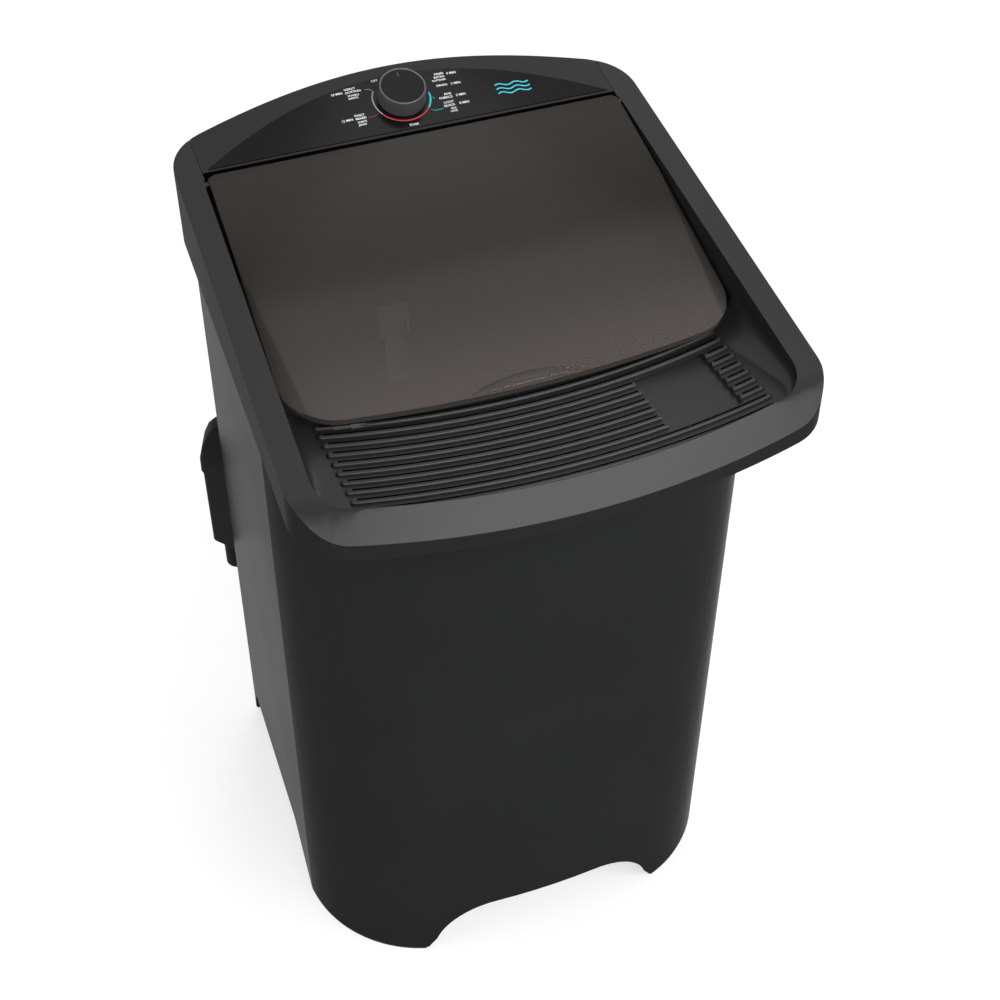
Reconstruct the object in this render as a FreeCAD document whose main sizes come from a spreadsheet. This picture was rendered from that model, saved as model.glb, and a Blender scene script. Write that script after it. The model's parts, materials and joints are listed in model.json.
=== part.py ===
import FreeCAD, Part
import math
import os
import re
from types import SimpleNamespace

import Sketcher
from FreeCAD import Placement, Rotation, Vector

# Driving dimensions: name, value in millimetres or degrees, what it sets
SIZES = [
    ("frame_front_width", 560.0, "side lines of the top frame, apart at its front edge"),
    ("frame_back_width", 529.0, "side lines of the top frame, apart at its back edge"),
    ("front_reach", 324.0, "origin to the front edge of the top frame"),
    ("back_reach", 284.0, "origin to the back of the console"),
    ("front_bow", 920.0, "radius of the bowed front edge"),
    ("back_bow", 790.0, "radius of the bowed console back"),
    ("front_corner", 62.0, "front corner radius of the top frame"),
    ("back_corner", 58.0, "back corner radius of the top frame"),
    ("rim_front_height", 836.5, "height of the sloping rim plane at the front edge"),
    ("rim_slope", 10.3, "slope of the rim, rising to the back"),
    ("skirt_front_height", 799.0, "height of the skirt's lower edge at the front"),
    ("skirt_slope", 4.9, "slope of the skirt's lower edge"),
    ("frame_wall", 3.0, "wall of the top frame"),
    ("side_band", 27.0, "width of the flat rim at the sides"),
    ("front_band", 24.0, "width of the bevelled rim at the front"),
    ("bevel_drop", 18.0, "how far the front rim falls to its outer edge"),
    ("opening_corner", 42.0, "front corner radius of the wash opening"),
    ("opening_back_corner", 9.0, "back corner radius of the wash opening"),
    ("console_side", 26.5, "strip of the frame beside the control panel"),
    ("panel_depth", 92.5, "control panel, front to back"),
    ("console_ledge", 5.5, "back wall of the wash opening to the control panel"),
    ("panel_rise", 15.0, "extra height of the panel's arched back"),
    ("panel_wall", 3.0, "wall of the control panel"),
    ("console_depth", 45.0, "console floor below the rim plane"),
    ("seam_gap", 0.4, "clearance round fitted covers"),
    ("overlay_radius", 394.0, "arc of the gloss overlay"),
    ("overlay_reach", 78.0, "panel front edge to the top of the overlay's arc"),
    ("overlay_thickness", 0.6, "thickness of the gloss overlay"),
    ("overlay_seat", 0.4, "glue line under the gloss overlay"),
    ("knob_setback", 44.5, "panel front edge to the knob's axis"),
    ("knob_radius", 26.0, "grip of the knob"),
    ("knob_skirt_radius", 28.5, "foot of the knob"),
    ("knob_height", 20.0, "height of the knob"),
    ("knob_gap", 0.8, "knob above the overlay"),
    ("knob_socket", 12.0, "shaft's socket in the knob"),
    ("pointer_width", 2.4, "pointer on the knob"),
    ("pointer_length", 14.3, "pointer on the knob"),
    ("pointer_start", 7.8, "knob's axis to the pointer"),
    ("pointer_depth", 0.8, "pointer on the knob"),
    ("timer_shaft_radius", 4.0, "shaft of the timer"),
    ("timer_radius", 24.0, "round timer body"),
    ("timer_depth", 26.0, "depth of the timer body"),
    ("deck_front_height", 837.0, "washboard height at its front edge"),
    ("deck_slope", 5.0, "fall of the washboard towards the tub"),
    ("tub_front", 136.0, "origin to the front wall of the tub"),
    ("deck_wing", 96.0, "origin to the back ends of the washboard beside the tub"),
    ("deck_thickness", 3.0, "washboard plate"),
    ("fit_gap", 0.3, "clearance round the washboard, at the rails' ends and under the motor shaft"),
    ("rib_count", 10.0, "ribs on the washboard"),
    ("rib_pitch", 15.2, "rib to rib"),
    ("rib_radius", 4.2, "half-round rib"),
    ("rib_length", 430.0, "rib, end to end"),
    ("rib_bow", 889.0, "bow of the front rib"),
    ("rib_setback", 6.0, "front edge of the washboard to the first rib"),
    ("tray_centre", 145.0, "soap tray to the right of the middle"),
    ("tray_width", 86.0, "soap tray, side to side"),
    ("tray_skip", 2.0, "ribs in front of the soap tray"),
    ("tray_span", 6.0, "ribs that the soap tray interrupts"),
    ("tray_depth", 3.0, "recess of the soap tray"),
    ("lid_reveal", 143.3, "washboard left bare in front of the lid"),
    ("lid_tail", 6.0, "lid behind the hinge axis"),
    ("lid_thickness", 4.0, "lid plate"),
    ("lid_slope", 15.3, "slope of the closed lid"),
    ("lid_gap", 5.0, "lid to the walls of the wash opening"),
    ("lid_bow", 1500.0, "bowed front edge of the lid"),
    ("lid_corner", 58.0, "front corner radius of the lid"),
    ("lid_lip", 4.0, "turned-down front edge of the lid"),
    ("lid_lip_wall", 3.0, "wall of the turned-down edge"),
    ("facet_start", 123.0, "hinge axis to the back end of the lid's side facets"),
    ("facet_end", 304.0, "hinge axis to the front end of the lid's side facets"),
    ("facet_width", 18.0, "side facet of the lid at its front end"),
    ("facet_slope", 21.0, "fall of the lid's side facets"),
    ("hinge_setback", 9.0, "back wall of the wash opening to the hinge axis"),
    ("hinge_drop", 3.0, "hinge axis below the rim plane"),
    ("hinge_pin_radius", 3.0, "hinge pin"),
    ("hinge_pin_length", 22.0, "hinge pin inside the opening"),
    ("hinge_barrel_radius", 6.0, "barrel of the lid"),
    ("hinge_barrel_length", 16.0, "barrel of the lid, end to end"),
    ("running_gap", 0.05, "running fit of pins and shafts, on the radius"),
    ("base_overhang", 90.0, "front edge of the frame beyond the cabinet at the floor"),
    ("top_overhang", 76.0, "front edge of the frame beyond the cabinet at its top"),
    ("base_back_inset", 14.0, "console back to the cabinet's back at the floor"),
    ("top_back_inset", 11.0, "console back to the cabinet's back at its top"),
    ("base_front_side", 6.2, "frame side line to the cabinet's at the front, at the floor"),
    ("base_back_side", 9.4, "frame side line to the cabinet's at the back, at the floor"),
    ("top_front_side", 8.0, "frame side line to the cabinet's at the front, at the top"),
    ("top_back_side", 8.5, "frame side line to the cabinet's at the back, at the top"),
    ("cabinet_bow", 900.0, "bowed cabinet front"),
    ("cabinet_corner", 160.0, "front corner radius of the cabinet"),
    ("cabinet_crease", 8.0, "turn of the upright edge between a front corner and the side wall"),
    ("base_back_bow", 2000.0, "bowed cabinet back at the floor"),
    ("base_back_corner", 16.0, "back corner radius of the cabinet at the floor"),
    ("top_back_bow", 760.0, "bowed cabinet back at its top"),
    ("top_back_corner", 52.0, "back corner radius of the cabinet at its top"),
    ("cabinet_wall", 3.0, "wall of the cabinet"),
    ("draft_height", 830.0, "height over which the cabinet's draft is measured"),
    ("arch_half_span", 147.0, "front arch, half of its span above the flare"),
    ("arch_round", 80.0, "round shoulders of the front arch"),
    ("arch_height", 79.0, "top of the front arch"),
    ("arch_flare", 10.0, "flare of the front arch at each foot"),
    ("arch_flare_height", 22.0, "flare of the front arch, from the floor up"),
    ("side_arch_height", 56.0, "lower edge of the side walls"),
    ("side_arch_round", 18.0, "rounded ends of the side arch"),
    ("side_arch_rise", 80.0, "sloping front end of the side arch"),
    ("side_arch_fall", 22.0, "sloping back end of the side arch"),
    ("foot_front", 82.0, "origin to the back end of the front feet"),
    ("foot_back", 246.0, "origin to the front end of the back feet"),
    ("back_arch_height", 22.0, "lower edge of the back wall"),
    ("back_arch_half_span", 170.0, "back arch, half of its span"),
    ("side_wall_front", 8.0, "origin to the joint of the front and the side walls"),
    ("side_wall_back", 205.0, "origin to the joint of the side walls and the back"),
    ("pad_thickness", 4.0, "rubber foot pad"),
    ("foot_flange", 16.0, "inward flange over the foot pads"),
    ("tub_margin", 12.0, "wash opening to the tub wall"),
    ("tub_wall", 3.0, "wall of the tub"),
    ("tub_rim_height", 812.0, "top of the tub's flange"),
    ("tub_floor", 390.0, "inside floor of the tub"),
    ("tub_corner", 95.0, "corner radius of the tub"),
    ("tub_round", 38.0, "round between tub wall and floor"),
    ("tub_flange", 15.0, "width of the tub's flange"),
    ("tub_flange_thickness", 4.0, "thickness of the tub's flange"),
    ("agitator_margin", 23.0, "agitator disc to the tub's front and back walls"),
    ("agitator_chamfer", 4.0, "lower edge of the agitator disc"),
    ("agitator_gap", 6.0, "agitator above the tub floor"),
    ("agitator_rim", 8.0, "agitator disc at its rim"),
    ("agitator_hub_radius", 38.0, "raised hub of the agitator"),
    ("agitator_hub_height", 46.0, "hub above the agitator's underside"),
    ("vane_count", 4.0, "vanes of the agitator"),
    ("vane_thickness", 12.0, "vane of the agitator"),
    ("vane_height", 34.0, "vane above the agitator's underside"),
    ("vane_inset", 10.0, "rim of the agitator disc to the end of a vane"),
    ("cone_reach", 22.0, "cone of the agitator beyond its hub"),
    ("cone_rise", 6.0, "cone of the agitator above its rim"),
    ("drive_shaft_radius", 10.0, "agitator shaft"),
    ("seal_radius", 18.0, "shaft seal in the tub floor"),
    ("seal_height", 5.0, "shaft seal"),
    ("housing_flange_radius", 58.0, "flange of the bearing housing"),
    ("housing_flange", 8.0, "flange thickness of the bearing housing"),
    ("housing_radius", 24.0, "barrel of the bearing housing"),
    ("housing_length", 47.0, "bearing housing, top to bottom"),
    ("bush_radius", 14.0, "outside of the shaft bushes"),
    ("bush_length", 15.0, "shaft bush"),
    ("bolt_circle", 44.0, "bolts of the bearing housing"),
    ("bolt_radius", 6.0, "bolt heads"),
    ("bolt_head", 5.0, "height of the bolt heads"),
    ("pulley_gap", 4.0, "bearing housing to the driven pulley"),
    ("pulley_height", 18.0, "both pulleys"),
    ("pulley_radius", 88.0, "driven pulley"),
    ("motor_pulley_radius", 22.0, "motor pulley"),
    ("groove_depth", 6.0, "belt groove"),
    ("groove_width", 11.0, "belt groove at its mouth"),
    ("groove_floor", 7.0, "belt groove at its floor"),
    ("belt_thickness", 6.5, "drive belt"),
    ("belt_width", 6.4, "drive belt"),
    ("belt_gap", 0.3, "belt clear of the groove floor"),
    ("nut_radius", 14.0, "pulley nut"),
    ("nut_height", 9.0, "pulley nut"),
    ("motor_offset", 150.0, "agitator axis to motor axis"),
    ("rail_height", 30.0, "base rail"),
    ("rail_width", 26.0, "base rail"),
    ("rail_level", 110.0, "underside of the base rails"),
    ("rail_spread", 62.0, "motor axis to each base rail"),
    ("boss_length", 34.0, "wall bosses that carry the rails"),
    ("boss_height", 40.0, "wall bosses that carry the rails"),
    ("plate_thickness", 4.0, "motor plate"),
    ("plate_gap", 3.0, "motor plate to the rail bolts"),
    ("plate_margin", 12.0, "motor plate beyond the capacitor clip"),
    ("mount_radius", 10.0, "rubber motor mounts"),
    ("mount_height", 12.0, "rubber motor mounts"),
    ("mount_circle", 72.0, "motor axis to the mounts"),
    ("cap_radius", 84.0, "motor end cap"),
    ("cap_thickness", 6.0, "motor end cap"),
    ("motor_radius", 62.0, "motor housing"),
    ("motor_wall", 4.0, "motor housing wall"),
    ("motor_length", 112.0, "motor housing"),
    ("motor_shaft_radius", 7.0, "motor shaft"),
    ("motor_bush_radius", 12.0, "motor bushes"),
    ("motor_bush_length", 12.0, "motor bushes"),
    ("cap_boss", 4.0, "wall of the end cap's boss"),
    ("motor_chamfer", 8.0, "top edge of the motor housing"),
    ("stator_length", 60.0, "stator and rotor stacks"),
    ("rotor_radius", 36.0, "rotor"),
    ("air_gap", 0.5, "rotor to stator"),
    ("fan_radius", 46.0, "motor fan"),
    ("fan_height", 12.0, "motor fan"),
    ("fan_gap", 5.0, "motor housing to the fan"),
    ("fan_blades", 8.0, "blades of the motor fan"),
    ("fan_plate", 2.0, "plate and blades of the motor fan"),
    ("fan_hub_wall", 6.0, "hub of the motor fan"),
    ("capacitor_radius", 20.0, "run capacitor"),
    ("capacitor_height", 78.0, "run capacitor"),
    ("capacitor_offset", 130.0, "motor axis to the capacitor"),
    ("capacitor_chamfer", 3.0, "top edge of the capacitor"),
    ("clip_wall", 2.0, "capacitor clip"),
    ("clip_height", 18.0, "capacitor clip"),
    ("clip_flange", 8.0, "foot of the capacitor clip"),
    ("drain_side", 150.0, "drain to the left of the middle"),
    ("drain_back", 78.0, "origin to the drain in the tub floor"),
    ("drain_radius", 14.0, "bore of the drain"),
    ("drain_wall", 3.0, "wall of the drain pieces"),
    ("elbow_length", 42.0, "drain spigot below the tub"),
    ("spigot_flange", 10.0, "flange of the drain spigot beyond its tube"),
    ("spigot_plate", 4.0, "flange of the drain spigot"),
    ("hose_bend", 60.0, "bend of the inner drain hose"),
    ("hose_drop", 40.0, "straight drop of the inner drain hose"),
    ("outlet_flange", 7.0, "drain outlet flange beyond its tube"),
    ("outlet_length", 20.0, "drain outlet beyond the back wall"),
    ("filter_side", 44.0, "lint filter to the left of the middle"),
    ("filter_width", 36.0, "lint filter"),
    ("filter_height", 111.0, "lint filter"),
    ("filter_depth", 12.0, "lint filter"),
    ("filter_level", 609.0, "underside of the lint filter"),
    ("filter_wall", 2.0, "frame of the lint filter"),
    ("filter_gap", 0.3, "lint filter in its bracket"),
    ("bracket_wall", 3.0, "filter bracket"),
    ("bracket_seat", 0.1, "filter bracket to the tub's back wall"),
    ("service_margin", 24.0, "rear cover beyond the service opening"),
    ("holder_side", 18.9, "hose holder beyond the cabinet's side line"),
    ("holder_width", 84.0, "hose holder"),
    ("holder_stand", 40.0, "hose holder behind the console back"),
    ("holder_bite", 37.0, "console back to the front of the hose holder"),
    ("holder_nose", 2.0, "console back to the left corner of the hose holder"),
    ("holder_lean", 16.0, "left corner of the hose holder beyond its back corner"),
    ("holder_sweep", 28.0, "left corner of the hose holder beyond its front corner"),
    ("holder_level", 314.0, "underside of the hose holder"),
    ("holder_height", 124.0, "hose holder below its cap"),
    ("holder_round", 8.0, "rounded upright edges of the hose holder"),
    ("cap_height", 66.0, "domed cap of the hose holder"),
    ("cap_rim", 2.5, "cap beyond the hose holder"),
    ("spout_radius", 16.0, "spout under the hose holder"),
    ("spout_length", 62.0, "spout under the hose holder"),
    ("cover_left", 90.0, "rear cover to the left of the middle"),
    ("cover_right", 160.0, "rear cover to the right of the middle"),
    ("cover_level", 110.0, "underside of the rear cover"),
    ("cover_height", 230.0, "rear cover"),
    ("cover_thickness", 2.5, "rear cover"),
    ("screw_radius", 5.0, "screw heads"),
    ("screw_head", 3.0, "screw heads"),
    ("screw_inset", 14.0, "screws from the edges of a cover"),
    ("gland_side", 170.0, "cable gland to the right of the middle"),
    ("gland_level", 560.0, "cable gland above the floor"),
    ("gland_radius", 12.0, "cable gland"),
    ("gland_length", 16.0, "cable gland beyond the back wall"),
    ("gland_bore", 4.5, "cable hole of the gland"),
]

doc = FreeCAD.newDocument("washing_machine")
sheet = doc.addObject("Spreadsheet::Sheet", "dims")
for row, (alias, number, note) in enumerate(SIZES, start=1):
    sheet.set(f"A{row}", note)
    sheet.set(f"B{row}", str(number))
    sheet.setAlias(f"B{row}", alias)
doc.recompute()
ALIASES = {alias for alias, number, note in SIZES}
d = SimpleNamespace(**{alias: float(sheet.get(alias)) for alias in ALIASES})

# Places and widths that follow from the driving dimensions
d.panel_front = d.back_reach - d.panel_depth
d.panel_width = d.frame_back_width - 2 * d.console_side
d.opening_back = d.panel_front - d.console_ledge
d.agitator_setback = (d.opening_back - d.tub_margin - d.tub_front) / 2
d.base_back_width = d.frame_back_width - 2 * d.base_back_side
d.holder_left = d.base_back_width / 2 + d.holder_side
d.holder_front = d.back_reach - d.holder_bite
d.holder_reach = d.back_reach + d.holder_stand
OPENING_BACK = "back_reach - panel_depth - console_ledge"
AXIS_Y = f"({OPENING_BACK} - tub_margin - tub_front) / 2"
AGITATOR_RADIUS = f"(({OPENING_BACK} - tub_margin + tub_front) / 2 - agitator_margin)"
RAIL_BOLT_X = "(frame_back_width / 2 - base_back_side - cabinet_wall - boss_length / 2)"

UP = Vector(0, 0, 1)
BACK = Vector(0, 1, 0)
FAR = 2000.0
TOUCH = 1e-6
DIAGONAL = f"{math.sqrt(0.5):.5f}"
nodes = {}


# Helpers that bind objects to the sheet

def cells(formula):
    """The formula with each size's name made a reference to its cell."""
    return re.sub(r"[a-z_]+", lambda word: "dims." + word[0] if word[0] in ALIASES else word[0], formula)


def bind(obj, **formulas):
    for path, formula in formulas.items():
        obj.setExpression(path.replace("__", "."), cells(formula))


def node(name, obj):
    """Names the object as a finished sub-part."""
    obj.Label = name
    nodes[name] = obj
    return obj


def block(name, x, y, z, length, width, height):
    box = doc.addObject("Part::Box", name)
    bind(box, Length=length, Width=width, Height=height)
    bind(box, Placement__Base__x=x, Placement__Base__y=y, Placement__Base__z=z)
    return box


def rod(name, x, y, z, radius, height, axis=UP):
    cylinder = doc.addObject("Part::Cylinder", name)
    cylinder.Placement = Placement(Vector(), Rotation(UP, axis))
    bind(cylinder, Radius=radius, Height=height)
    bind(cylinder, Placement__Base__x=x, Placement__Base__y=y, Placement__Base__z=z)
    return cylinder


def fuse(name, *shapes):
    union = doc.addObject("Part::MultiFuse", name)
    union.Shapes = list(shapes)
    return union


def cut(name, base, *tools):
    tool = tools[0] if len(tools) == 1 else fuse(name + "_tools", *tools)
    difference = doc.addObject("Part::Cut", name)
    difference.Base = base
    difference.Tool = tool
    return difference


def turned(name, profile, x="0", y="0", z="0"):
    """A body turned about its own upright axis from a profile of (radius, height) formulas."""
    body = doc.addObject("PartDesign::Body", name)
    sketch = body.newObject("Sketcher::SketchObject", name + "_profile")
    plane = next(item for item in body.Origin.OriginFeatures if item.Role == "XZ_Plane")
    sketch.AttachmentSupport = [(plane, "")]
    sketch.MapMode = "FlatFace"
    count = len(profile)
    start_radius = 40.0
    ring = []
    for index in range(count):
        turn = 2 * math.pi * index / count
        ring.append(Vector(2 + math.cos(turn), math.sin(turn), 0) * start_radius)
    for index in range(count):
        sketch.addGeometry(Part.LineSegment(ring[index], ring[(index + 1) % count]), False)
    for index in range(count):
        sketch.addConstraint(Sketcher.Constraint("Coincident", index, 2, (index + 1) % count, 1))
    for index, (radius, height) in enumerate(profile):
        point = ring[index]
        for kind, start, formula in (("DistanceX", point.x, radius), ("DistanceY", point.y, height)):
            place = sketch.addConstraint(Sketcher.Constraint(kind, -1, 1, index, 1, start))
            sketch.setExpression(f"Constraints[{place}]", cells(formula))
    turn = body.newObject("PartDesign::Revolution", name + "_turned")
    turn.Profile = sketch
    turn.ReferenceAxis = (sketch, ["V_Axis"])
    turn.Angle = 360.0
    bind(body, Placement__Base__x=x, Placement__Base__y=y, Placement__Base__z=z)
    return body


def formed(name, shape):
    """A sub-part whose form is worked out from the sheet with shape functions."""
    feature = doc.addObject("Part::Feature", name)
    feature.Shape = shape
    return feature


# Plan outlines with bowed ends, straight tapering sides and round corners

def plan(front_width, back_width, front, back, front_bow, back_bow, front_corner, back_corner, crease=0.0):
    return SimpleNamespace(**locals())


def corner(p, inset, at_back):
    """Where one right-hand corner arc meets the bow, its middle, and where it meets the side line.

    A front corner may meet the side line at a crease, so its arc's centre stands nearer to that line."""
    front, back = p.front + inset, p.back - inset
    start = Vector(p.front_width / 2 - inset, front, 0)
    along = (Vector(p.back_width / 2 - inset, back, 0) - start).normalize()
    inward = Vector(-along.y, along.x, 0)
    bow = (p.back_bow if at_back else p.front_bow) - inset
    full_radius = p.back_corner if at_back else p.front_corner
    radius = max(full_radius - inset, 0.5)
    crease = 0.0 if at_back else math.radians(p.crease)
    stand = radius - full_radius * (1 - math.cos(crease))
    bow_centre = Vector(0, back - bow if at_back else front + bow, 0)
    line = start + inward * stand - bow_centre
    middle = -line.dot(along)
    reach = math.sqrt(middle ** 2 - line.dot(line) + (bow - radius) ** 2)
    centre = bow_centre + line + along * (middle + (reach if at_back else -reach))
    side_point = centre - inward * stand - along * math.sqrt(radius ** 2 - stand ** 2)
    bow_point = bow_centre + (centre - bow_centre).normalize() * bow
    between = ((side_point - centre) + (bow_point - centre)).normalize() * radius + centre
    return bow_point, between, side_point


def plan_wire(p, inset=0.0, z=0.0):
    def lift(point, mirrored=False):
        return Vector(-point.x if mirrored else point.x, point.y, z)

    front = corner(p, inset, False)
    back = corner(p, inset, True)
    f_bow, f_mid, f_side = (lift(point) for point in front)
    b_bow, b_mid, b_side = (lift(point) for point in back)
    f_bow_left, f_mid_left, f_side_left = (lift(point, True) for point in front)
    b_bow_left, b_mid_left, b_side_left = (lift(point, True) for point in back)
    edges = [
        Part.Arc(f_bow_left, Vector(0, p.front + inset, z), f_bow),
        Part.Arc(f_bow, f_mid, f_side),
        Part.LineSegment(f_side, b_side),
        Part.Arc(b_side, b_mid, b_bow),
        Part.Arc(b_bow, Vector(0, p.back - inset, z), b_bow_left),
        Part.Arc(b_bow_left, b_mid_left, b_side_left),
        Part.LineSegment(b_side_left, f_side_left),
        Part.Arc(f_side_left, f_mid_left, f_bow_left),
    ]
    return Part.Wire([edge.toShape() for edge in edges])


def prism(p, inset=0.0, low=0.0, high=FAR):
    return Part.Face(plan_wire(p, inset, low)).extrude(UP * (high - low))


def cuboid(x_low, x_high, y_low, y_high, z_low=0.0, z_high=FAR):
    return Part.makeBox(x_high - x_low, y_high - y_low, z_high - z_low, Vector(x_low, y_low, z_low))


def slab_above(y, z, slope, depth=FAR):
    """Everything above the plane that passes through (y, z) and rises to the back by slope degrees."""
    tool = Part.makeBox(2 * FAR, 2 * FAR, depth, Vector(-FAR, -FAR, 0))
    tool.rotate(Vector(), Vector(1, 0, 0), slope)
    tool.translate(Vector(0, y, z))
    return tool


def slab_below(y, z, slope):
    tool = Part.makeBox(2 * FAR, 2 * FAR, FAR, Vector(-FAR, -FAR, -FAR))
    tool.rotate(Vector(), Vector(1, 0, 0), slope)
    tool.translate(Vector(0, y, z))
    return tool


def rim_height(y):
    return d.rim_front_height + (y + d.front_reach) * math.tan(math.radians(d.rim_slope))


def above_rim(drop=0.0):
    return slab_above(-d.front_reach, d.rim_front_height - drop, d.rim_slope)


FRAME = plan(d.frame_front_width, d.frame_back_width, -d.front_reach, d.back_reach,
             d.front_bow, d.back_bow, d.front_corner, d.back_corner)
TAPER = (d.frame_front_width - d.frame_back_width) / (d.front_reach + d.back_reach)


def frame_width(y):
    """Distance between the frame's side lines at y."""
    return d.frame_front_width - TAPER * (y + d.front_reach)


STRAIGHT = 60000.0
DECK_FRONT = -d.front_reach + d.front_band
OPENING = plan(frame_width(DECK_FRONT) - 2 * d.side_band, frame_width(d.opening_back) - 2 * d.side_band,
               DECK_FRONT, d.opening_back, d.front_bow - d.front_band, STRAIGHT,
               d.opening_corner, d.opening_back_corner)
TUB_FRONT = -d.tub_front
TUB_BACK = d.opening_back - d.tub_margin
TUB = plan(frame_width(TUB_FRONT) - 2 * (d.side_band + d.tub_margin),
           frame_width(TUB_BACK) - 2 * (d.side_band + d.tub_margin),
           TUB_FRONT, TUB_BACK, STRAIGHT, STRAIGHT, d.tub_corner, d.tub_corner)
BASE = plan(d.frame_front_width - 2 * d.base_front_side, d.base_back_width,
            d.base_overhang - d.front_reach, d.back_reach - d.base_back_inset,
            d.cabinet_bow, d.base_back_bow, d.cabinet_corner, d.base_back_corner, d.cabinet_crease)
TOP = plan(d.frame_front_width - 2 * d.top_front_side, d.frame_back_width - 2 * d.top_back_side,
           d.top_overhang - d.front_reach, d.back_reach - d.top_back_inset,
           d.cabinet_bow, d.top_back_bow, d.cabinet_corner, d.top_back_corner, d.cabinet_crease)


# Top frame: an inverted channel over the cabinet's edge, with the console floor at its back

def front_bevel(inset=0.0):
    """What the bevelled front rim takes off, as a shallow cone about the bow's axis."""
    overrun = 60.0
    fall = d.bevel_drop / d.front_band
    inner = d.front_bow - d.front_band
    outer = d.front_bow + overrun
    start = -inset * math.hypot(1, fall)
    profile = Part.makePolygon([
        Vector(0, -inner, start),
        Vector(0, -outer, start - (outer - inner) * fall),
        Vector(0, -outer, overrun),
        Vector(0, -inner, overrun),
        Vector(0, -inner, start),
    ])
    half_turn = 40.0
    face = Part.Face(profile)
    face.rotate(Vector(), UP, -half_turn)
    tool = face.revolve(Vector(), UP, 2 * half_turn)
    tool.translate(Vector(0, d.front_bow, 0))
    tool.rotate(Vector(), Vector(1, 0, 0), d.rim_slope)
    tool.translate(Vector(0, -d.front_reach, d.rim_front_height))
    return tool


def console_bay(clearance):
    """The space at the back of the frame that the control panel fills."""
    half = d.panel_width / 2 + clearance
    bay = cuboid(-half, half, d.opening_back - d.frame_wall, FAR)
    return bay.common(above_rim(d.console_depth))


def make_top_frame():
    below_skirt = slab_below(-d.front_reach, d.skirt_front_height, d.skirt_slope)
    shell = prism(FRAME).cut(above_rim()).cut(below_skirt).cut(front_bevel())
    channel = prism(FRAME, d.frame_wall).cut(above_rim(d.frame_wall)).cut(front_bevel(d.frame_wall))
    rim = shell.cut(channel)
    band = prism(FRAME, d.frame_wall).cut(above_rim()).cut(front_bevel())
    band = band.cut(channel)
    wall = prism(OPENING, -d.frame_wall, d.tub_rim_height).cut(above_rim()).cut(front_bevel())
    frame = rim.fuse([band, wall]).cut(prism(OPENING))
    frame = frame.cut(console_bay(d.seam_gap))
    floor = prism(FRAME).common(cuboid(-FAR, FAR, d.opening_back, FAR))
    floor = floor.cut(above_rim(d.console_depth)).common(above_rim(d.console_depth + d.frame_wall))
    return frame.fuse(floor).removeSplitter()


top_frame = node("top_frame", formed("top_frame_shell", make_top_frame()))


# Control panel with an arched back, its overlay, timer and knob

def panel_crown(drop=0.0, depth=FAR):
    """Everything above the panel's arched top face, for a height of depth."""
    margin = 2.0
    half = d.panel_width / 2 + margin
    front, back = d.panel_front - margin, d.back_reach + margin
    low_front, low_back = rim_height(front) - drop, rim_height(back) - drop
    near = Part.LineSegment(Vector(-half, front, low_front), Vector(half, front, low_front)).toShape()
    far = Part.Arc(Vector(-half, back, low_back), Vector(0, back, low_back + d.panel_rise),
                   Vector(half, back, low_back)).toShape()
    return Part.makeRuledSurface(near, far).extrude(UP * depth)


PANEL_DEPTH = d.back_reach - d.panel_front
PANEL_SLOPE = math.degrees(math.atan(math.tan(math.radians(d.rim_slope)) + d.panel_rise / PANEL_DEPTH))
KNOB_Y = d.panel_front + d.knob_setback
KNOB_Z = rim_height(KNOB_Y) + d.panel_rise * d.knob_setback / PANEL_DEPTH
KNOB_AXIS = Rotation(Vector(1, 0, 0), PANEL_SLOPE)
ON_KNOB_AXIS = Placement(Vector(0, KNOB_Y, KNOB_Z), KNOB_AXIS)


def on_knob_axis(radius, low, high):
    """A round solid about the knob's axis, between two heights above the panel's face."""
    shape = Part.makeCylinder(radius, high - low, Vector(0, 0, low))
    shape.Placement = ON_KNOB_AXIS
    return shape


SHAFT_HOLE = d.timer_shaft_radius + d.seam_gap


def make_control_panel():
    half = d.panel_width / 2
    wall = d.panel_wall
    outside = prism(FRAME).common(cuboid(-half, half, d.panel_front, FAR))
    outside = outside.common(above_rim(d.console_depth))
    inside = prism(FRAME, wall).common(cuboid(-half + wall, half - wall, d.panel_front + wall, FAR))
    shell = outside.cut(panel_crown()).cut(inside.cut(panel_crown(wall)))
    return shell.cut(on_knob_axis(SHAFT_HOLE, -d.console_depth, d.console_depth))


def make_overlay():
    arc_centre = d.panel_front + d.overlay_reach - d.overlay_radius
    region = Part.makeCylinder(d.overlay_radius, FAR, Vector(0, arc_centre, 0))
    half = d.panel_width / 2 - d.panel_wall
    region = region.common(cuboid(-half, half, d.panel_front + d.panel_wall, FAR))
    film = panel_crown(-d.overlay_seat, d.overlay_thickness).common(region)
    return film.cut(on_knob_axis(SHAFT_HOLE, -d.console_depth, d.console_depth))


node("control_panel", formed("control_panel_shell", make_control_panel()))
node("panel_overlay", formed("panel_overlay_film", make_overlay()))

TIMER_LOW = -d.panel_wall - d.timer_depth
BORE_LOW = TIMER_LOW + d.panel_wall


def make_timer():
    """A round can under the panel, with the shaft's bore open at its top."""
    can = on_knob_axis(d.timer_radius, TIMER_LOW, 0.0).cut(panel_crown(d.panel_wall))
    return can.cut(on_knob_axis(d.timer_shaft_radius + d.running_gap, BORE_LOW, d.panel_wall))


node("timer_body", formed("timer_can", make_timer()))

knob_foot = d.overlay_seat + d.overlay_thickness + d.knob_gap
shaft_low = BORE_LOW + d.seam_gap
timer_shaft = on_knob_axis(d.timer_shaft_radius, shaft_low, knob_foot + d.knob_socket)
node("timer_shaft", formed("timer_shaft_rod", timer_shaft))

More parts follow.
